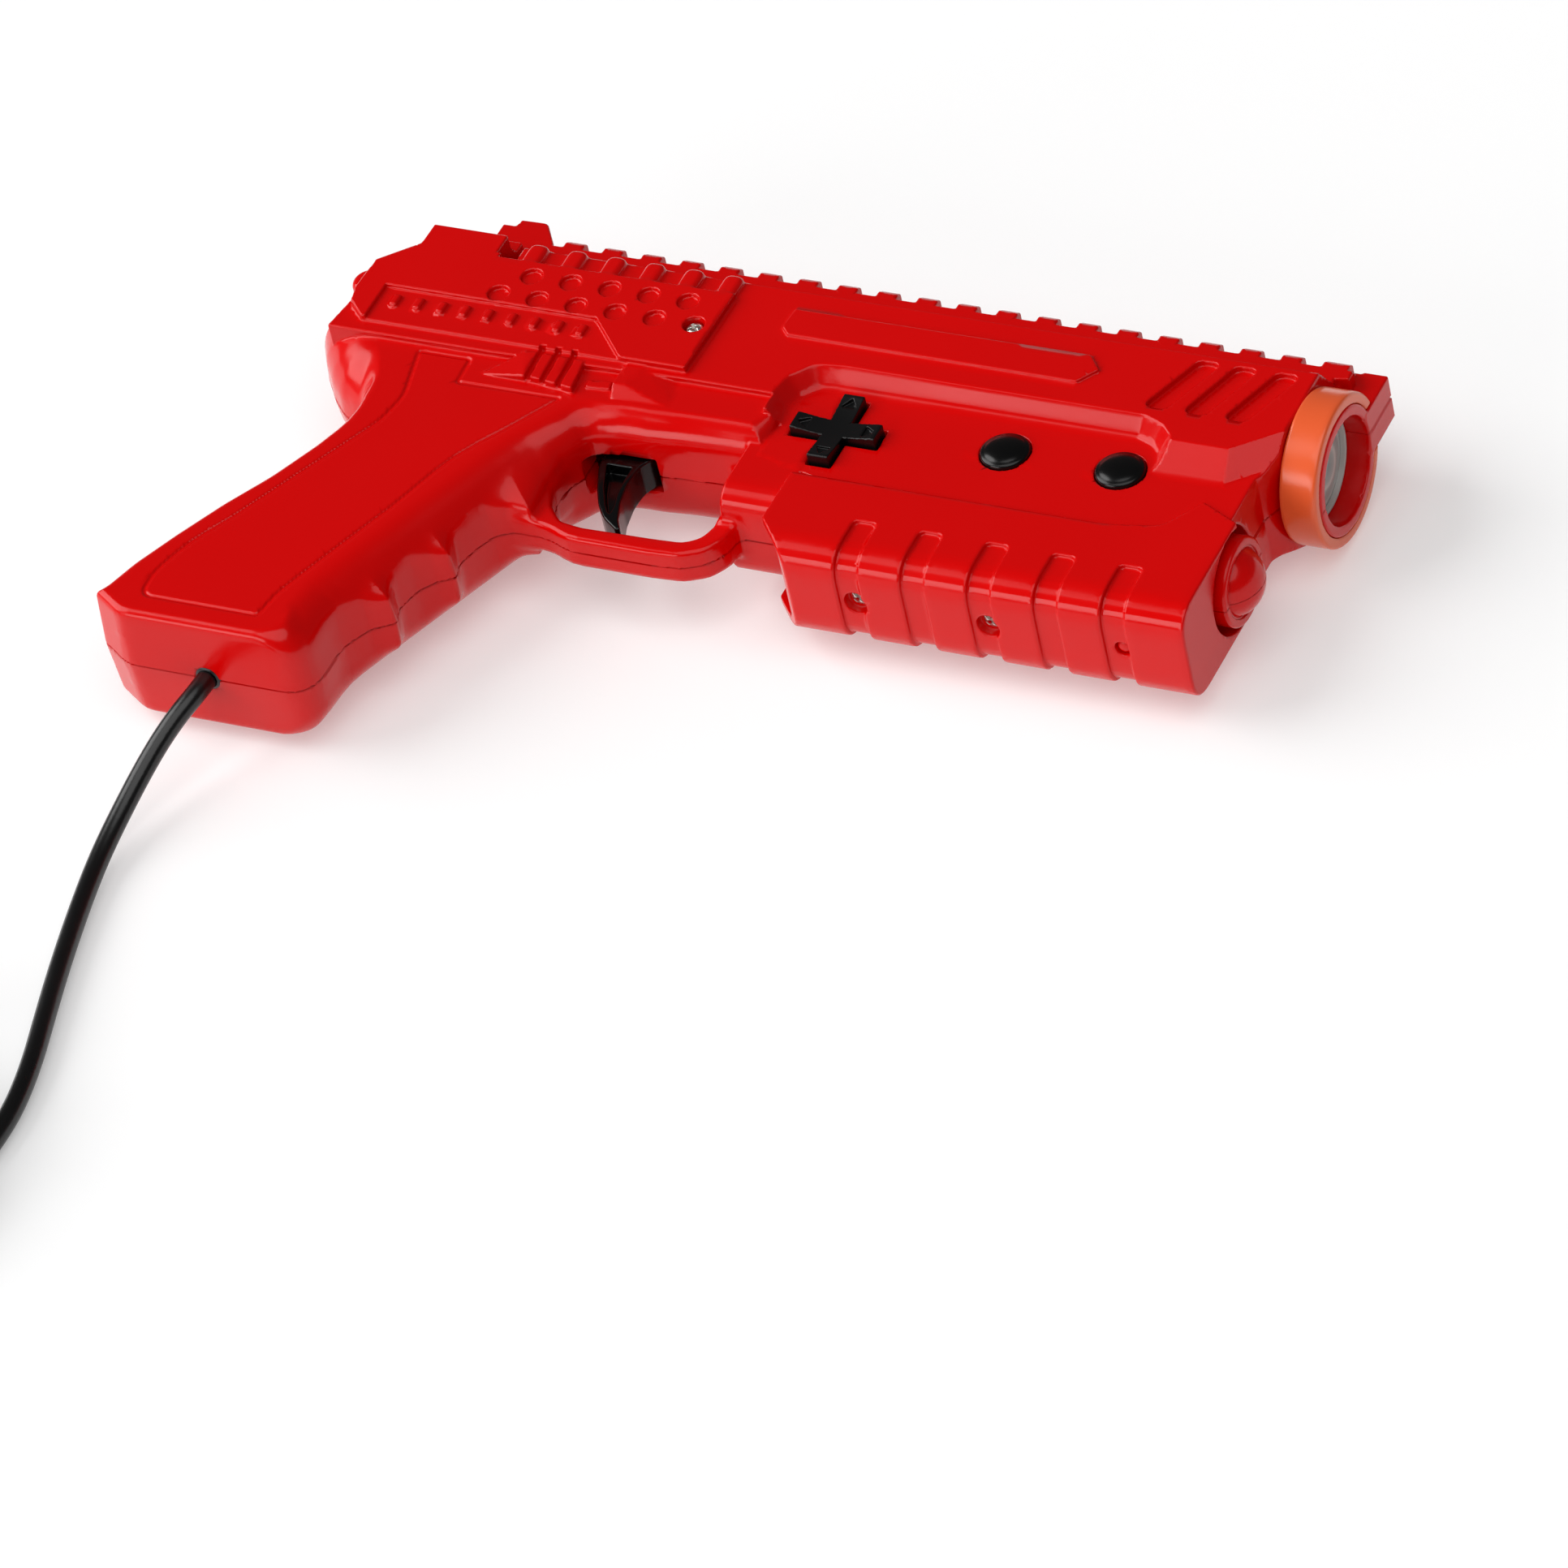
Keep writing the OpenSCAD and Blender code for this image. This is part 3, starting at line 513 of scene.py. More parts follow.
def casing_outside():
    """The outer form of a casing half, for z from 0 up."""
    solid = Moulding((-54.4, -150.4, -1.2), (206.4, 6.4, 20.8), STEP)
    flat = np.array(grip_outline)
    solid.join(Shape((*flat.min(0), -1), (*flat.max(0), GRIP_HALF), grip_distance))
    # slide with its slanted shoulder, pocket and front facets
    solid.join(slab(slide_outline, -2, SLIDE_HALF, 0.4))
    solid.cut(half_space((0, 1, 0.7), (0, -12.9, SLIDE_HALF), (-60, -14, 8), (210, 6, 21)))
    solid.cut(well(pocket_outline, POCKET_HALF, SLIDE_HALF, 0.72, 1.0), 0.3)
    solid.cut(half_space((0, -0.5575, 0.830), (178, -40.8, SLIDE_HALF), (165, -52, 10), (187, -38, 21)))
    solid.cut(half_space((0.407, -0.479, 0.778), (184.8, -40.8, SLIDE_HALF),
                         (180, -52, 4), (197, -28, 21)))
    solid.join(slab(fore_outline, -2, POCKET_HALF, 0.4), 0.4)
    solid.join(slab(inner_fore_outline, -2, 10.3, 4.5))
    solid.join(profile_x(bulge_section, 74.2, 90, 0.7), 0.6)
    guard = Moulding(solid.low, (206.4, 6.4, 20.8), STEP)
    guard.join(slab(guard_outer, -2, GUARD_HALF, 1.4))
    guard.cut(slab(guard_inner, -3, 30, 0.1), 1.6)
    solid.field = melt(solid.field, guard.field, 2.5)
    # rear block and panel
    solid.join(slab([(-27.4, -6.5), (-27.4, -20), (-8, -20), (-8, -6.5)], 0, 12.5, 0.3))
    solid.join(slab(panel_outline, 10, PANEL_HALF - 0.2, 0.35), 0.2)
    return solid


def add_rail(solid):
    solid.join(slab([(-6, -16), (-6, -3), (198, -3), (198, -5.9), (SLIDE_FRONT, -6.4),
                     (SLIDE_FRONT, -16)], -2, RAIL_HALF, 0.25))
    tooth = [(-4, -2), (0, -2), (0, RAIL_HALF - 1.15), (-1.6, RAIL_HALF), (-4, RAIL_HALF)]
    for i in range(20):
        length = 6.6 if i == 19 else 5.2
        solid.join(profile_x(tooth, 10 * i, 10 * i + length, 0.25))
    solid.join(slab([(-17.5, -8), (-17.5, 1.4), (-14.2, 1.5), (-13.8, 3.7), (-7.7, 3.9),
                     (-6.7, 3.5), (-2.6, -2.4), (-2.6, -8)], -2, RAIL_HALF, 0.3))
    solid.join(slab([(SLIDE_FRONT - 1, -12), (195.7, 0.9), (197.8, 0.9), (198, 1.5), (204, 1.5),
                     (204, -12), (SLIDE_FRONT, -14)], -2, BAR_HALF, 0.3), 0.3)


def add_side_details(solid):
    """The raised, sunk and engraved details of a casing side."""
    top = PANEL_HALF - 0.2
    solid.cut(slab(channel_outline, SLIDE_HALF + 0.75, 25, 0.2), 0.3)
    for i in range(9):
        x = -24.5 + 5.98 * i
        peg = smooth_corners([(x - 1.05, -36), (x + 1.05, -36), (x + 1.05, -39.8),
                              (x - 1.05, -39.8)], 0.6)
        solid.join(slab(peg, 15, PANEL_HALF - 0.2, 0.7), 0.3)
    for i in range(5):
        solid.cut(rod(2, (3.9 + DIMPLE_PITCH * i, -23.5), top - 1.1, 25, 2.5, 0.1), 0.35)
    for i in range(6):
        solid.cut(rod(2, (-1.3 + DIMPLE_PITCH * i, -30.6), top - 1.1, 25, 2.5, 0.1), 0.35)
    # notch, then six bars that reach from the panel over the shoulder
    solid.cut(slab([(-8, -9), (-8, -17.2), (-3.6, -17.2), (-3.6, -9)], 9, 25, 0.3))
    for i in range(6):
        x = 0.9 + DIMPLE_PITCH * i
        bar = smooth_corners([(x - 2.5, -12.2), (x + 2.5, -12.2), (x + 2.5, -20), (x - 2.5, -20)],
                             [2.2, 2.2, 0.3, 0.3])
        solid.join(slab(bar, 6, PANEL_HALF - 0.3, 1.4), 0.3)
    # name plate with pointed ends
    solid.join(slab([(68.8, -19.3), (142.2, -19.1), (146, -23.3), (142.4, -28.3), (70.7, -28),
                     (68.4, -25.7)], 12, SLIDE_HALF + 0.75, 0.3), 0.15)
    # three slanted slots behind the muzzle
    for x0, x1 in ((160, 167), (169.6, 176), (179.4, 186)):
        groove = [(x0 - 0.2, -31.8), (x0 + 5.4, -31.8), (x1 + 5.2, -14.6), (x1 - 0.4, -14.6)]
        solid.cut(slab(smooth_corners(groove, 2.5), SLIDE_HALF - 1.5, 25, 0.2), 0.25)
    # slider with three ribs, then the small plate and the faceted wedge in front of it
    level = SLIDE_HALF + 0.3
    solid.join(slab([(4.4, -54.4), (12.9, -46.1), (28, -46.4), (29.1, -55.8), (18.7, -54.4)],
                    12, level, 0.2,
                    [((4.4, -54.2, 15.5), (12.9, -46.1, level), (15.9, -53.2, level))]), 0.15)
    for i in range(3):
        x = 16.6 + 4.1 * i
        solid.cut(slab([(x, -58), (x + 1.4, -58), (x + 0.6, -44), (x - 0.8, -44)],
                       SLIDE_HALF - 1.1, 18, 0.2))
    solid.join(slab([(31, -51.1), (36.8, -50.4), (37.3, -53.1), (31.2, -53.4)],
                    12, GRIP_HALF + 0.7, 0.2))
    low_end = (54.9, -55.7, GRIP_HALF - 0.3)
    solid.join(slab([(38.5, -55.7), (37.6, -51.9), (38.3, -44), (42.3, -44), (54.4, -47.8),
                     (54.9, -55.7)], 12, level, 0.2,
                    [((42.3, -44.6, level), (40.8, -51.8, level), low_end),
                     ((42.3, -44.6, level), low_end, (54.4, -47.8, GRIP_HALF - 0.6)),
                     ((40.8, -51.8, level), low_end, (38.5, -55.7, GRIP_HALF))]), 0.1)


def engrave(solid, points, width=0.8, depth=0.35, level=GRIP_HALF):
    """A fine engraved line around a closed outline."""
    flat = np.array(points)

    def distance(x, y, z):
        return rim(np.abs(outline_distance(flat, x, y)) - width / 2, level - depth - z, 0.05)
    solid.cut(Shape((*flat.min(0), level - depth), (*flat.max(0), level + 4), distance), 0.3)


def add_muzzle(solid):
    solid.join(rod(0, (AXIS_Y, 0), SLIDE_FRONT - 2, 203.9, 15.0, 0.5))
    solid.cut(rod(0, (AXIS_Y, 0), 166, 210, 12.4, 0.1), 0.3)


def add_dome(solid):
    """Room for the dome, and the stub that carries it."""
    solid.cut(rod(0, (DOME_Y, 0), 187, 200, 12.2, 0.1), 0.3)
    solid.join(rod(0, (DOME_Y, 0), 180, 190, 9.0, 0.3))


def dome_half():
    """Half of the blind dome with its collar, in finer steps than the casing."""
    solid = Moulding((180.0, DOME_Y - 12, -1.2), (201.2, DOME_Y + 12, 11.6), STEP / 2)
    solid.join(rod(0, (DOME_Y, 0), 181, 195.4, 10.3, 0.7))
    solid.cut(rod(0, (DOME_Y, 0), 194.9, 200, 8.3, 0.05), 0.1)
    solid.join(ball((192.2, DOME_Y, 0), 8.3, (0.92, 1, 1)), 0.1)
    return solid


def casing_half():
    solid = casing_outside()
    add_rail(solid)
    add_side_details(solid)
    add_muzzle(solid)
    add_dome(solid)
    solid.join(rod(2, (-36.5, -29.0), -2, 15, 4.2, 1.5))
    return solid


grip_line = smooth_corners([
    (26, -59), (19, -70), (11.3, -81), (5, -100), (-1, -115), (-5, -125), (-8, -133), (-9, -140.6),
    (-38.5, -140.6), (-39.5, -134), (-36, -122), (-30, -112), (-25, -102), (-20, -92), (-15, -82),
    (-11, -74), (-9.5, -65), (-13, -50), (0.3, -50), (0.6, -58), (26.8, -57.7),
], [1, 40, 40, 60, 60, 60, 20, 1.5, 3, 20, 40, 60, 60, 60, 40, 20, 12, 1, 1, 1, 0.4])

half = casing_half()
engrave(half, grip_line)

# hollow inside
half.cut(slab([(-33, -50), (-28, -54), (-22, -56), (-17.5, -62), (-16.8, -75), (-20.5, -85.5),
               (-26, -98), (-38.5, -121), (-46.5, -138), (-44, -145.4), (-3, -145.4), (1.2, -142),
               (1.6, -135), (5, -125.5), (9.2, -120), (9.4, -116), (11.4, -109), (15.6, -103.5),
               (17, -94), (18, -85), (20, -76), (26, -60), (73, -57.5), (73, -44),
               (-33, -44)], -3, 9.4, 0.5))
half.cut(slab([(-33, -43), (-33, -26), (-25, -18), (-25, -15.5), (168, -15.5), (168, -33),
               (74, -33), (72, -45)], -3, SLIDE_HALF - WALL, 0.5))
half.cut(slab([(71, -45), (77, -60), (82, -73.5), (90, -73.5), (98, -86.4), (176, -86.4),
               (176, -63), (182, -55), (184, -42), (172, -42), (172, -38.5), (168, -38.5),
               (168, -30), (72, -30)], -3, POCKET_HALF - WALL, 0.5))
half.cut(slab([(34, -52), (34, -66), (50.8, -66), (50.8, -59.6), (56.5, -59.6), (56.5, -52)], -3, 4.8,
              0.2))
half.cut(rod(1, (CORD_EXIT[0], 0), -151, -143, 2.7, 0.1), 0.6)
half.cut(rod(2, TRIGGER_AXIS, -3, 6.6, 4.4, 0.1))
for x in COVER_SCREWS:
    half.cut(rod(1, (x, 0), -92, -84, 4.5, 0.1))

right_half = half.copy()
for along, across in ((11.05, 3.15), (3.15, 11.05)):
    cx, cy = DPAD
    right_half.cut(slab([(cx - along, cy - across), (cx + along, cy - across),
                         (cx + along, cy + across), (cx - along, cy + across)], 5, 30, 0.1))
for place in RIGHT_BUTTONS:
    right_half.cut(rod(2, place, 5, 30, 5.95, 0.05), 0.1)
right_half.cut(rod(2, PANEL_SCREW, 15, 30, 2.45, 0.1))

left_half = half
for place in LEFT_BUTTONS:
    left_half.cut(rod(2, place, 5, 30, 5.95, 0.05), 0.1)
for place in SHELL_SCREWS:
    left_half.cut(rod(2, place, 8, 30, 3.2, 0.1), 0.3)

right_casing = right_half.mesh("right_casing", SEAM, adaptivity=0.02)
left_casing = left_half.mesh("left_casing", SEAM, True, adaptivity=0.02)
right_dome = dome_half().mesh("right_dome", SEAM, adaptivity=0.005)
left_dome = dome_half().mesh("left_dome", SEAM, True, adaptivity=0.005)
del half, right_half, left_half


# ---------------------------------------------------------------- cover of the fore-end
def cover_section(inset=0.0, corner=7.4):
    top, side, bottom = -53, COVER_HALF - inset, COVER_BOTTOM + inset
    points = [(top, -side), (top, side), (bottom, side), (bottom, -side)]
    return smooth_corners(points, [0.1, 0.1, corner, corner])


def make_cover():
    solid = Moulding((84, -93.6, -15.2), (198, -50, 15.2), STEP)
    solid.join(profile_x(cover_section(), 88, 193.6, 0.6))
    # grooves that wrap round
    for i in range(5):
        x = 109.2 + 16.1 * i
        ring = Moulding(solid.low, (198, -50, 15.2), STEP)
        ring.join(slab(smooth_corners([(x, -100), (x, -77.8), (x + 5.6, -77.8), (x + 5.6, -100)],
                                      [0, 1.6, 1.6, 0]), -20, 20, 0.1))
        inner = profile_x(cover_section(0.95, 6.6), 60, 220)
        where, at = ring.window(inner, 3)
        shell_field = ring.field.copy()
        shell_field[where] = np.maximum(ring.field[where], -inner.distance(*at))
        solid.field = -melt(-solid.field, shell_field, 0.5)
    # slanted rear end
    solid.cut(half_space((-0.74, -0.67, 0), (86.8, -80.3, 0), (80, -100, -20), (102, -76, 20)), 0.4)
    # top edge: level, then rising to the front
    above = smooth_corners([(80, -66), (166, -66), (177.5, -63.8), (183.6, -54.4), (191.8, -58.3),
                            (198, -61.6), (202, -48), (80, -48)], [0, 12, 5, 0.4, 2, 0, 0, 0])
    solid.cut(slab(above, -20, 20, 0.1), 0.2)
    # hollow for the casing
    room = smooth_corners([(-40, -10.5), (-89, -10.5), (-89, 10.5), (-40, 10.5)], [0, 4.5, 4.5, 0])
    solid.cut(profile_x(room, 80, 184, 0.3))
    for x in COVER_SCREWS:
        solid.join(rod(1, (x, 0), -90, -86.5, 4.2, 0.2))
        opened, size, soft = (-88.4, 2.9, 0.4) if x < 170 else (-89.0, 1.9, 0.2)
        solid.cut(rod(1, (x, 0), -95, opened, size, 0.1), soft)
        solid.cut(rod(1, (x, 0), -95, -80, 1.3, 0.1))
    solid.cut(rod(0, (DOME_Y, 0), 187, 200, 12.2, 0.1), 0.3)
    return solid


cover = make_cover().mesh("wrap_cover", adaptivity=0.02)


# ---------------------------------------------------------------- mesh helpers
def add_mesh(name, bm):
    data = bpy.data.meshes.new(name)
    bmesh.ops.recalc_face_normals(bm, faces=bm.faces)
    bm.to_mesh(data)
    bm.free()
    made = bpy.data.objects.new(name, data)
    bpy.context.scene.collection.objects.link(made)
    return made


def lathe(name, profile, origin, axis, steps=96):
    """A turned piece: profile holds (along, radius) points; origin in the design frame."""
    bm = bmesh.new()
    frame_z = Vector(axis)
    frame_x = frame_z.orthogonal().normalized()
    frame_y = frame_z.cross(frame_x)
    rings = []
    for along, radius in profile:
        centre = Vector(origin) + frame_z * along
        if radius < 1e-6:
            rings.append([bm.verts.new(row(centre))])
            continue
        rings.append([
            bm.verts.new(row(centre + radius * (math.cos(t) * frame_x + math.sin(t) * frame_y)))
            for t in (2 * math.pi * k / steps for k in range(steps))])
    for a, b in zip(rings, rings[1:]):
        for k in range(steps):
            n = (k + 1) % steps
            if len(a) == 1:
                bm.faces.new((a[0], b[k], b[n]))
            elif len(b) == 1:
                bm.faces.new((a[k], b[0], a[n]))
            else:
                bm.faces.new((a[k], b[k], b[n], a[n]))
    made = add_mesh(name, bm)
    made.data.shade_smooth()
    return made


# ---------------------------------------------------------------- controls
def make_button(name, place, side):
    """A domed button with a low step round its top."""
    profile = [(8.0, 0), (8.0, 7.1), (9.6, 7.1), (9.7, 5.8), (12.6, 5.8), (13.0, 5.62), (13.25, 5.3),
               (13.3, 4.9), (13.5, 4.6), (13.85, 3.6), (14.1, 2.4), (14.25, 1.2), (14.3, 0)]
    return lathe(name, profile, (*place, 0), (0, 0, side))


def make_dpad():
    solid = Moulding((DPAD[0] - 13.4, DPAD[1] - 13.4, 5.8), (DPAD[0] + 13.4, DPAD[1] + 13.4, 16.4),
                     min(STEP, 0.4) / 2)
    cx, cy = DPAD
    long, half_arm = 10.5, 2.6
    cross = [(cx + sx * a, cy + sy * b) for sx, sy, a, b in (
        (1, 1, long, half_arm), (1, 1, half_arm, half_arm), (1, 1, half_arm, long),
        (-1, 1, half_arm, long), (-1, 1, half_arm, half_arm), (-1, 1, long, half_arm),
        (-1, -1, long, half_arm), (-1, -1, half_arm, half_arm), (-1, -1, half_arm, long),
        (1, -1, half_arm, long), (1, -1, half_arm, half_arm), (1, -1, long, half_arm))]
    solid.join(slab(cross, 7, 14.9, 0.3))
    solid.join(rod(2, DPAD, 6.6, 8.4, 12.0, 0.3))
    # the arms dip to the middle
    solid.cut(ball((cx, cy, 14.9 + 43.9), 45.0))
    for k in range(4):
        turn_to = Matrix.Rotation(k * math.pi / 2, 2)
        arrow = [(9.5, 0), (6.8, 1.85), (6.8, -1.85)]
        spots = [turn_to @ Vector(p) for p in arrow]
        solid.cut(slab(smooth_corners([(cx + p[0], cy + p[1]) for p in spots], 0.3), 13.75, 20, 0.1))
    solid.cut(ball((cx, cy, 5.9), 2.1))
    return solid.mesh("direction_pad", adaptivity=0.01)


def make_trigger():
    solid = Moulding((34.8, -86, -5), (54.2, -49.6, 5), min(STEP, 0.4) / 1.5)
    outline = smooth_corners([
        (37, -58), (38, -66), (40.9, -72.8), (43.4, -77.4), (46.6, -81.4), (50.8, -84.3), (52.2, -84.2),
        (50.2, -81), (48.2, -75.5), (47.2, -69.5), (47.4, -63.7), (51, -58), (50, -52.5), (40, -51.5),
        (37, -53)], [2, 8, 10, 10, 8, 0.8, 0.6, 6, 10, 10, 6, 4, 3, 3, 2])
    solid.join(slab(outline, -4.2, 4.2, 0.5))
    solid.join(rod(2, TRIGGER_AXIS, -4.2, 4.2, 4.0, 0.3))
    solid.cut(rod(2, TRIGGER_AXIS, -9, 9, 1.55, 0.05))
    recess = smooth_corners([(39.6, -64.5), (42.3, -71.8), (45.2, -77.2), (47.6, -80.4), (47.4, -77.4),
                             (46.2, -73), (45.8, -68), (45.9, -64.5)], [0.6, 8, 8, 0.6, 4, 8, 8, 0.6])
    for side in (-1, 1):
        low, high = sorted((side * 1.4, side * 6))
        solid.cut(slab(recess, low, high, 0.3), 0.3)
    return solid.mesh("trigger_lever", adaptivity=0.01)


dpad_piece = make_dpad()
trigger_piece = make_trigger()
buttons = {
    "right_rear_button": make_button("button_right_rear", RIGHT_BUTTONS[0], 1),
    "right_front_button": make_button("button_right_front", RIGHT_BUTTONS[1], 1),
    "left_rear_button": make_button("button_left_rear", LEFT_BUTTONS[0], -1),
    "left_front_button": make_button("button_left_front", LEFT_BUTTONS[1], -1),
}


# ---------------------------------------------------------------- muzzle
def make_ring():
    solid = Moulding((193.2, -44.4, -19.2), (205.2, -5.2, 19.2), min(STEP, 0.4))
    solid.join(rod(0, (AXIS_Y, 0), SLIDE_FRONT + 0.05, 203.7, 17.7, 0.8))
    solid.cut(rod(0, (AXIS_Y, 0), 190, 210, 15.05, 0.1), 0.4)
    solid.cut(slab([(190, AXIS_Y), (210, AXIS_Y), (210, 0), (190, 0)], -6.2, 6.2, 0.2))
    return solid.mesh("front_ring", adaptivity=0.01)


ring_piece = make_ring()
LENS_TOP = 198.9
lens_piece = lathe("front_lens", [
    (-3.5, 0), (-3.5, 11.45), (-1.9, 11.45), (-1.7, 11.2), (-1.05, 8.8), (-0.55, 6.4), (-0.2, 3.8),
    (-0.05, 1.8), (0, 0)], (LENS_TOP, AXIS_Y, 0), (1, 0, 0))
tube_piece = lathe("lens_tube", [
    (-30, 4.0), (-30, 12.3), (-0.8, 12.3), (-0.6, 12.1), (-0.6, 11.7), (-0.9, 11.5), (-3.6, 11.5),
    (-3.6, 8.5), (-28, 8.5), (-28, 4.0), (-30, 4.0)], (LENS_TOP, AXIS_Y, 0), (1, 0, 0))


# ---------------------------------------------------------------- screws
def make_screw(name, top, axis, head_r, shank_r, length):
    """A pan head screw, turned; cross_recess cuts its cross afterwards. top is the middle of the head's
    top.
    """
    return lathe(name, [(0, 0), (0, head_r * 0.55), (-0.25, head_r * 0.85), (-0.7, head_r),
                        (-1.6, head_r), (-1.6, shank_r), (-length, shank_r), (-length - 0.8, 0)],
                 top, axis, 32)


def cross_recess(piece, top, axis, size):
    """Cuts the cross of a driver into a screw's head."""
    helpers = []
    unit = Vector(axis)
    first = unit.orthogonal().normalized()
    second = unit.cross(first)
    for a, b in ((first, second), (second, first)):
        bm = bmesh.new()
        bmesh.ops.create_cube(bm, size=1)
        basis = Matrix((a, b, unit)).transposed().to_4x4()
        scale = Matrix.Diagonal((size * 1.3 / 1000, size * 0.3 / 1000, 1.6 / 1000, 1))
        bmesh.ops.transform(bm, matrix=Matrix.Translation(row(top)) @ basis @ scale, verts=bm.verts)
        cutter = add_mesh("cutter", bm)
        taken = piece.modifiers.new("cross", "BOOLEAN")
        taken.operation = "DIFFERENCE"
        taken.solver = "EXACT"
        taken.object = cutter
        helpers.append(cutter)
    bpy.context.view_layer.update()
    shown = piece.evaluated_get(bpy.context.evaluated_depsgraph_get())
    data = bpy.data.meshes.new_from_object(shown)
    piece.modifiers.clear()
    piece.data = data
    for helper in helpers:
        bpy.data.objects.remove(helper)
    return piece


def screw_at(name, top, axis, head_r, shank_r, length):
    return cross_recess(make_screw(name, top, axis, head_r, shank_r, length), top, axis, head_r)


cover_screw_pieces = [
    screw_at(f"cover_screw_{i}", (x, COVER_BOTTOM + 2.9, 0), (0, -1, 0), 2.5, 1.2, 8.0)
    for i, x in enumerate(COVER_SCREWS[:2])]
panel_screw_piece = screw_at("rear_panel_screw", (*PANEL_SCREW, PANEL_HALF - 1.3), (0, 0, 1), 2.1, 1.5, 4)
shell_screw_pieces = [
    screw_at(f"shell_screw_{i}", (*place, -9.6), (0, 0, -1), 2.7, 1.2, 15)
    for i, place in enumerate(SHELL_SCREWS)]
plug_piece = lathe("third_hole_plug",
                   [(0, 0), (0, 0.9), (-0.3, 1.5), (-0.6, 1.7), (-2.6, 1.7), (-2.6, 0)],
                   (COVER_SCREWS[2], COVER_BOTTOM + 1.5, 0), (0, -1, 0), 32)

# ---------------------------------------------------------------- lead's grommet at the grip
grommet_piece = lathe("grip_grommet", [
    (-0.1, 2.42), (-0.1, 2.65), (0.3, 3.3), (3.4, 3.3), (3.5, 4.6), (4.4, 4.6), (4.4, 2.42),
    (-0.1, 2.42)],
    (CORD_EXIT[0], -147.9, 0), (0, 1, 0), 48)


# ---------------------------------------------------------------- materials
def material(name, colour, roughness, **sockets):
    made = bpy.data.materials.new(name)
    made.use_nodes = True
    shader = made.node_tree.nodes["Principled BSDF"]
    shader.inputs["Base Color"].default_value = (*colour, 1)
    shader.inputs["Roughness"].default_value = roughness
    for socket, value in sockets.items():
        shader.inputs[socket.replace("_", " ")].default_value = value
    return made


def noise(tree, scale, detail=3.0, kind="ShaderNodeTexNoise"):
    where = tree.nodes.new("ShaderNodeTexCoord")
    texture = tree.nodes.new(kind)
    texture.inputs["Scale"].default_value = scale
    if "Detail" in texture.inputs:
        texture.inputs["Detail"].default_value = detail
    tree.links.new(where.outputs["Object"], texture.inputs["Vector"])
    return texture


def ramp(tree, source, low, high):
    """Maps a texture's grey value to a range."""
    spread = tree.nodes.new("ShaderNodeMapRange")
    spread.inputs["From Min"].default_value = 0.3
    spread.inputs["From Max"].default_value = 0.7
    spread.inputs["To Min"].default_value = low
    spread.inputs["To Max"].default_value = high
    tree.links.new(source, spread.inputs["Value"])
    return spread.outputs["Result"]


def moulded(name, colour, roughness, spread=0.05, grain=0.02, grain_scale=1500, tint=0.06, **sockets):
    """Moulded plastic: fine grain, slightly uneven gloss and colour."""
    made = material(name, colour, roughness, **sockets)
    tree = made.node_tree
    shader = tree.nodes["Principled BSDF"]
    cloud = noise(tree, 35)
    tree.links.new(ramp(tree, cloud.outputs["Fac"], roughness - spread, roughness + spread),
                   shader.inputs["Roughness"])
    mix = tree.nodes.new("ShaderNodeMixRGB")
    mix.inputs["Color1"].default_value = (*[c * (1 - tint) for c in colour], 1)
    mix.inputs["Color2"].default_value = (*[min(1, c * (1 + tint)) for c in colour], 1)
    drift = noise(tree, 14)
    tree.links.new(drift.outputs["Fac"], mix.inputs["Fac"])
    tree.links.new(mix.outputs["Color"], shader.inputs["Base Color"])
    bump = tree.nodes.new("ShaderNodeBump")
    bump.inputs["Strength"].default_value = grain
    bump.inputs["Distance"].default_value = 0.0003
    fine = noise(tree, grain_scale, 2)
    tree.links.new(fine.outputs["Fac"], bump.inputs["Height"])
    tree.links.new(bump.outputs["Normal"], shader.inputs["Normal"])
    return made


RED = (0.62, 0.0006, 0.0006)
red = moulded("red_moulding", RED, 0.165, IOR=1.35)
orange = moulded("orange_moulding", (0.78, 0.11, 0.03), 0.24, IOR=1.45)
black_gloss = moulded("black_gloss", (0.0012, 0.0012, 0.0013), 0.2, tint=0.2, IOR=1.4)
black_satin = moulded("black_satin", (0.003, 0.003, 0.0032), 0.3, tint=0.2, IOR=1.4)
grey = moulded("tube_grey", (0.5, 0.5, 0.47), 0.35)
rubber = moulded("black_jacket", (0.002, 0.002, 0.0022), 0.3, grain=0.1, grain_scale=900, tint=0.2)
silicone = moulded("silicone", (0.16, 0.16, 0.17), 0.6)
board_green = moulded("board", (0.01, 0.09, 0.035), 0.35, tint=0.3)
steel = moulded("steel", (0.62, 0.62, 0.63), 0.3, Metallic=1.0)
zinc = moulded("zinc", (0.72, 0.70, 0.66), 0.28, Metallic=1.0)
woven = moulded("woven_band", (0.012, 0.012, 0.013), 0.8, grain=0.6, grain_scale=1800)


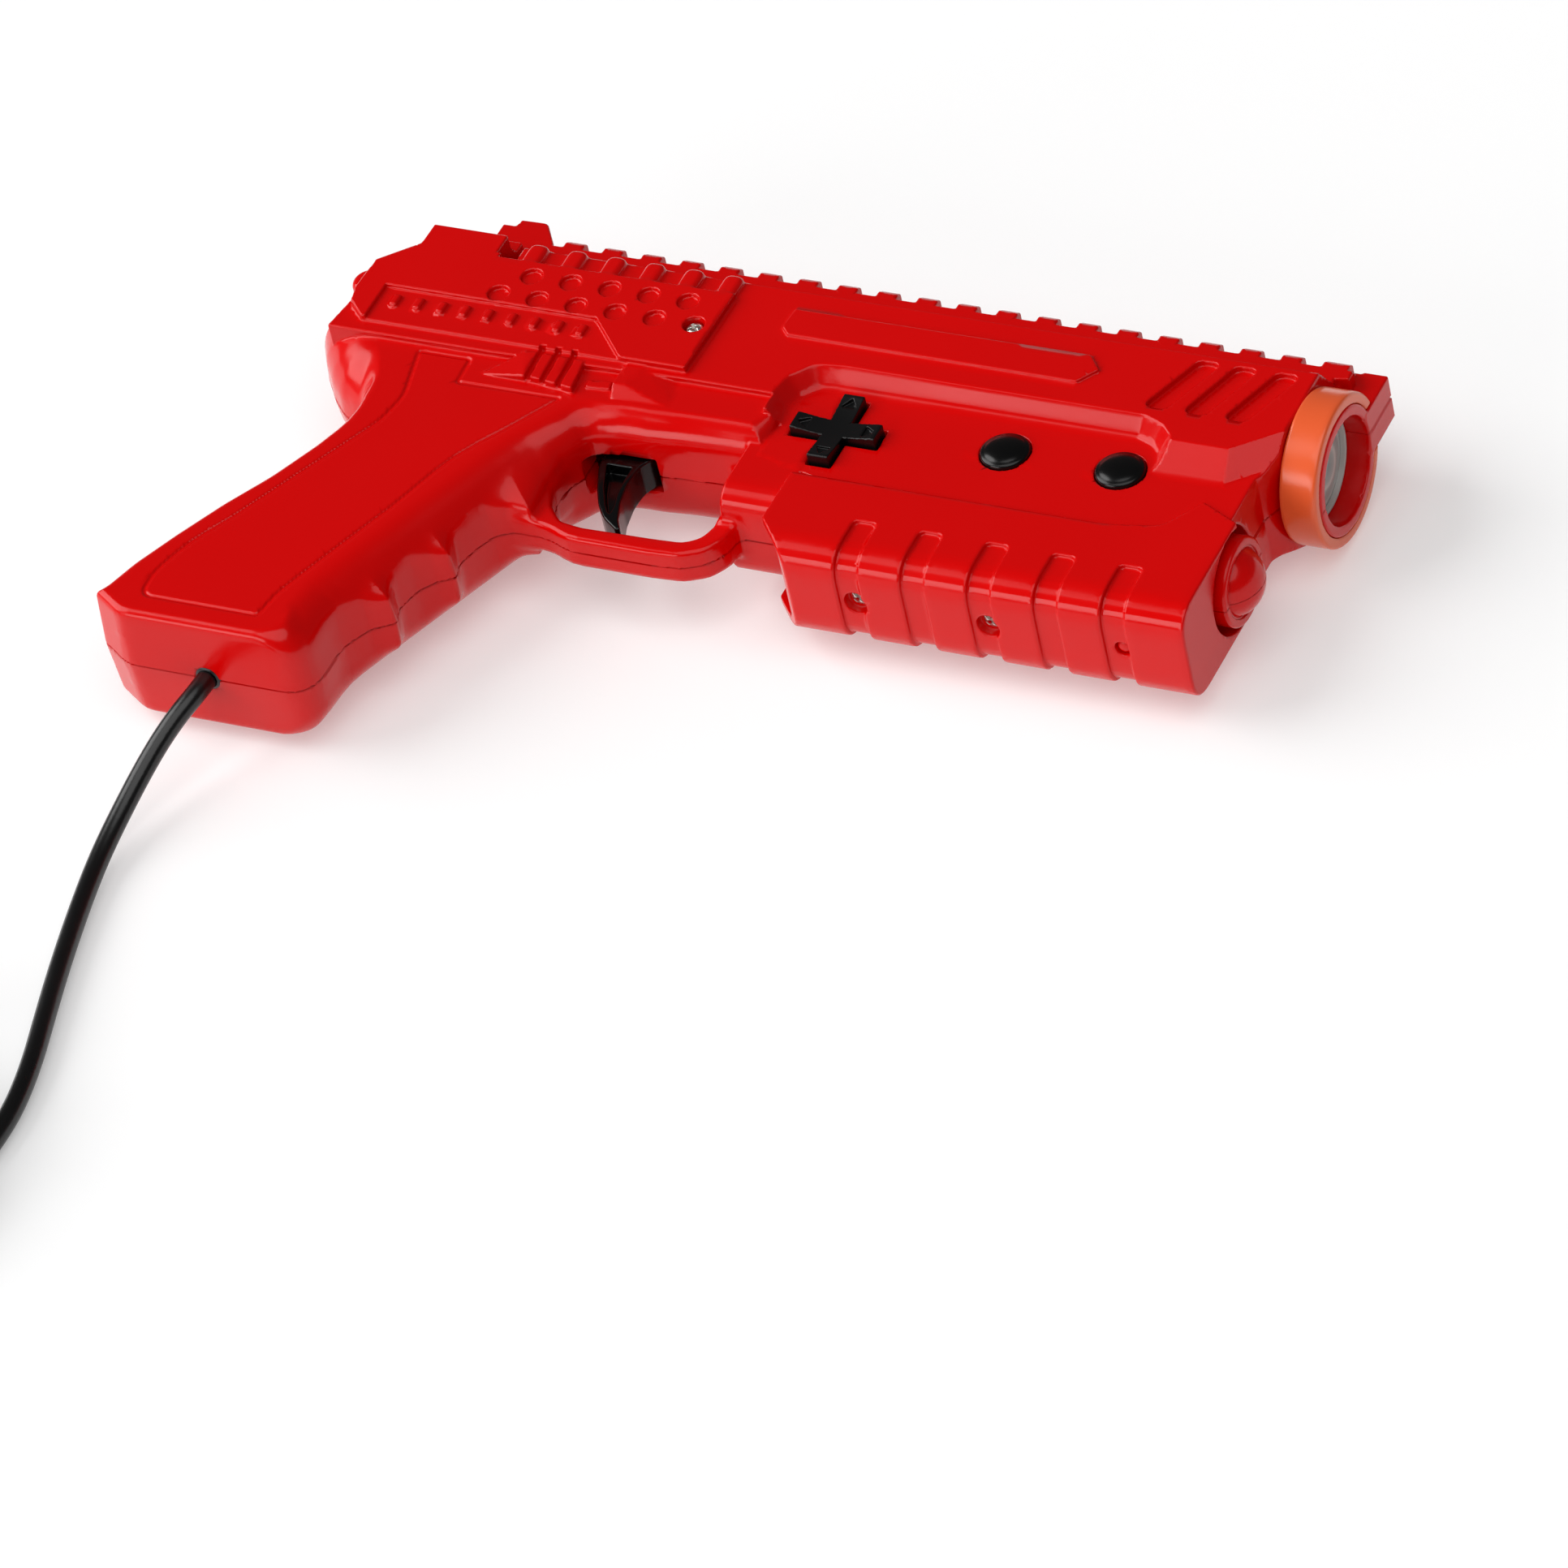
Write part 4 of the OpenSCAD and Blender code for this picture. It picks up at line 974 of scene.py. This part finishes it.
def glass_with_painted_glints():
    """Glass with painted light and shade: concentric lighter rings around the lens's axis are painted
    reflections, and the darker middle is painted shade.
    """
    made = material("lens_glass", (0.3, 0.38, 0.36), 0.08)
    tree = made.node_tree
    where = tree.nodes.new("ShaderNodeTexCoord")
    centred = tree.nodes.new("ShaderNodeVectorMath")
    centred.operation = "SUBTRACT"
    centred.inputs[1].default_value = row((LENS_TOP, AXIS_Y, 0))
    tree.links.new(where.outputs["Object"], centred.inputs[0])
    across = tree.nodes.new("ShaderNodeVectorMath")
    across.operation = "MULTIPLY"
    across.inputs[1].default_value = (0, 1000, 1000)
    tree.links.new(centred.outputs["Vector"], across.inputs[0])
    reach = tree.nodes.new("ShaderNodeVectorMath")
    reach.operation = "LENGTH"
    tree.links.new(across.outputs["Vector"], reach.inputs[0])
    share = tree.nodes.new("ShaderNodeMath")
    share.operation = "DIVIDE"
    share.inputs[1].default_value = 12.0
    tree.links.new(reach.outputs["Value"], share.inputs[0])
    painted_glint_bands = tree.nodes.new("ShaderNodeValToRGB")
    # painted light and shade in the glass's colour: the light rings stand in for reflections, the dark
    # middle for shade
    dark, mid, light = (0.2, 0.3, 0.3, 1), (0.36, 0.45, 0.43, 1), (0.62, 0.66, 0.62, 1)
    stops = [(0.0, dark), (0.3, mid), (0.42, light), (0.5, mid), (0.7, mid), (0.8, light), (0.9, mid)]
    for k, (at, colour) in enumerate(stops):
        stop = painted_glint_bands.color_ramp.elements[k] if k < 2 else painted_glint_bands.color_ramp.elements.new(at)
        stop.position, stop.color = at, colour
    tree.links.new(share.outputs["Value"], painted_glint_bands.inputs["Fac"])
    tree.links.new(painted_glint_bands.outputs["Color"], tree.nodes["Principled BSDF"].inputs["Base Color"])
    return made


glass = glass_with_painted_glints()


def dress(piece, look, body="root", replaced=()):
    """Gives a piece its material and its body, and hides the CAD nodes that it stands for."""
    piece.data.materials.clear()
    piece.data.materials.append(look)
    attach(piece, body)
    if replaced:
        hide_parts(*replaced)


dress(right_casing, red, replaced=["right_shell"])
dress(left_casing, red, replaced=["left_shell"])
dress(right_dome, red, replaced=["right_shell"])
dress(left_dome, red, replaced=["left_shell"])
dress(cover, red, replaced=["fore_end_cover"])
dress(ring_piece, orange, replaced=["muzzle_ring"])
dress(lens_piece, glass, replaced=["lens"])
dress(tube_piece, grey, replaced=["camera_tube"])
dress(dpad_piece, black_satin, "dpad", ["dpad"])
dress(trigger_piece, black_gloss, "trigger", ["trigger"])
for node, piece in buttons.items():
    dress(piece, black_gloss, node, [node])
for piece in cover_screw_pieces:
    dress(piece, zinc, replaced=["cover_screws"])
for piece in shell_screw_pieces:
    dress(piece, zinc, replaced=["shell_screws"])
dress(panel_screw_piece, zinc, replaced=["panel_screw"])
dress(plug_piece, red, replaced=["cover_plug"])
dress(grommet_piece, rubber, replaced=["cord_grommet"])
dress(cord_piece, rubber, replaced=["lead", "lead_coil"])

looks = {"red_plastic": red, "orange_plastic": orange, "grey_plastic": grey,
         "black_plastic": black_satin, "black_controls": black_satin, "black_rubber": rubber, "silicone_rubber": silicone,
         "lens_glass": glass, "circuit_board": board_green, "steel": steel, "screw_steel": zinc,
         "tie_fabric": woven}
for part in frame["record"]["subparts"]:
    node = frame["nodes"][part["node"]]
    node.data.materials.clear()
    node.data.materials.append(looks[part["material_slot"]])

# ---------------------------------------------------------------- floor and light
bpy.ops.mesh.primitive_plane_add(size=14, location=(0, 0, -0.0005))
floor = bpy.context.object
floor.name = "floor"
floor.data.materials.append(material("floor_white", (0.7, 0.7, 0.7), 0.95,
                                     Emission_Strength=0.32, Emission_Color=(1, 1, 1, 1)))

LIGHT_DISTANCE = 2.4
LIGHT_TARGET = Vector((0, 0, 0.02))


def panel_light(name, direction, size, power):
    """A soft box that looks at the gun from a direction of the row frame."""
    data = bpy.data.lights.new(name, "AREA")
    data.shape = "RECTANGLE"
    data.size, data.size_y = size
    data.energy = power
    lamp = bpy.data.objects.new(name, data)
    aim = Vector(direction).normalized()
    lamp.location = LIGHT_TARGET + aim * LIGHT_DISTANCE
    lamp.rotation_euler = aim.to_track_quat("Z", "Y").to_euler()
    bpy.context.scene.collection.objects.link(lamp)


def sun(name, direction, strength, angle):
    """Even light from a direction of the row frame."""
    data = bpy.data.lights.new(name, "SUN")
    data.energy = strength
    data.angle = math.radians(angle)
    lamp = bpy.data.objects.new(name, data)
    lamp.rotation_euler = Vector(direction).to_track_quat("Z", "Y").to_euler()
    bpy.context.scene.collection.objects.link(lamp)


panel_light("low_strip", (-0.41, -0.87, 0.30), (1.5, 0.85), 17)
panel_light("high_strip", (-0.41, -0.25, 0.88), (2.2, 0.5), 4)
sun("key", (-0.80, -0.15, 0.58), 2.15, 50)
sun("fill", (0.25, -0.35, 0.90), 1.3, 60)
world = bpy.data.worlds.new("studio")
world.use_nodes = True
world.node_tree.nodes["Background"].inputs["Color"].default_value = (1, 1, 1, 1)
world.node_tree.nodes["Background"].inputs["Strength"].default_value = 0.09
bpy.context.scene.world = world
bpy.context.scene.view_settings.view_transform = "Standard"
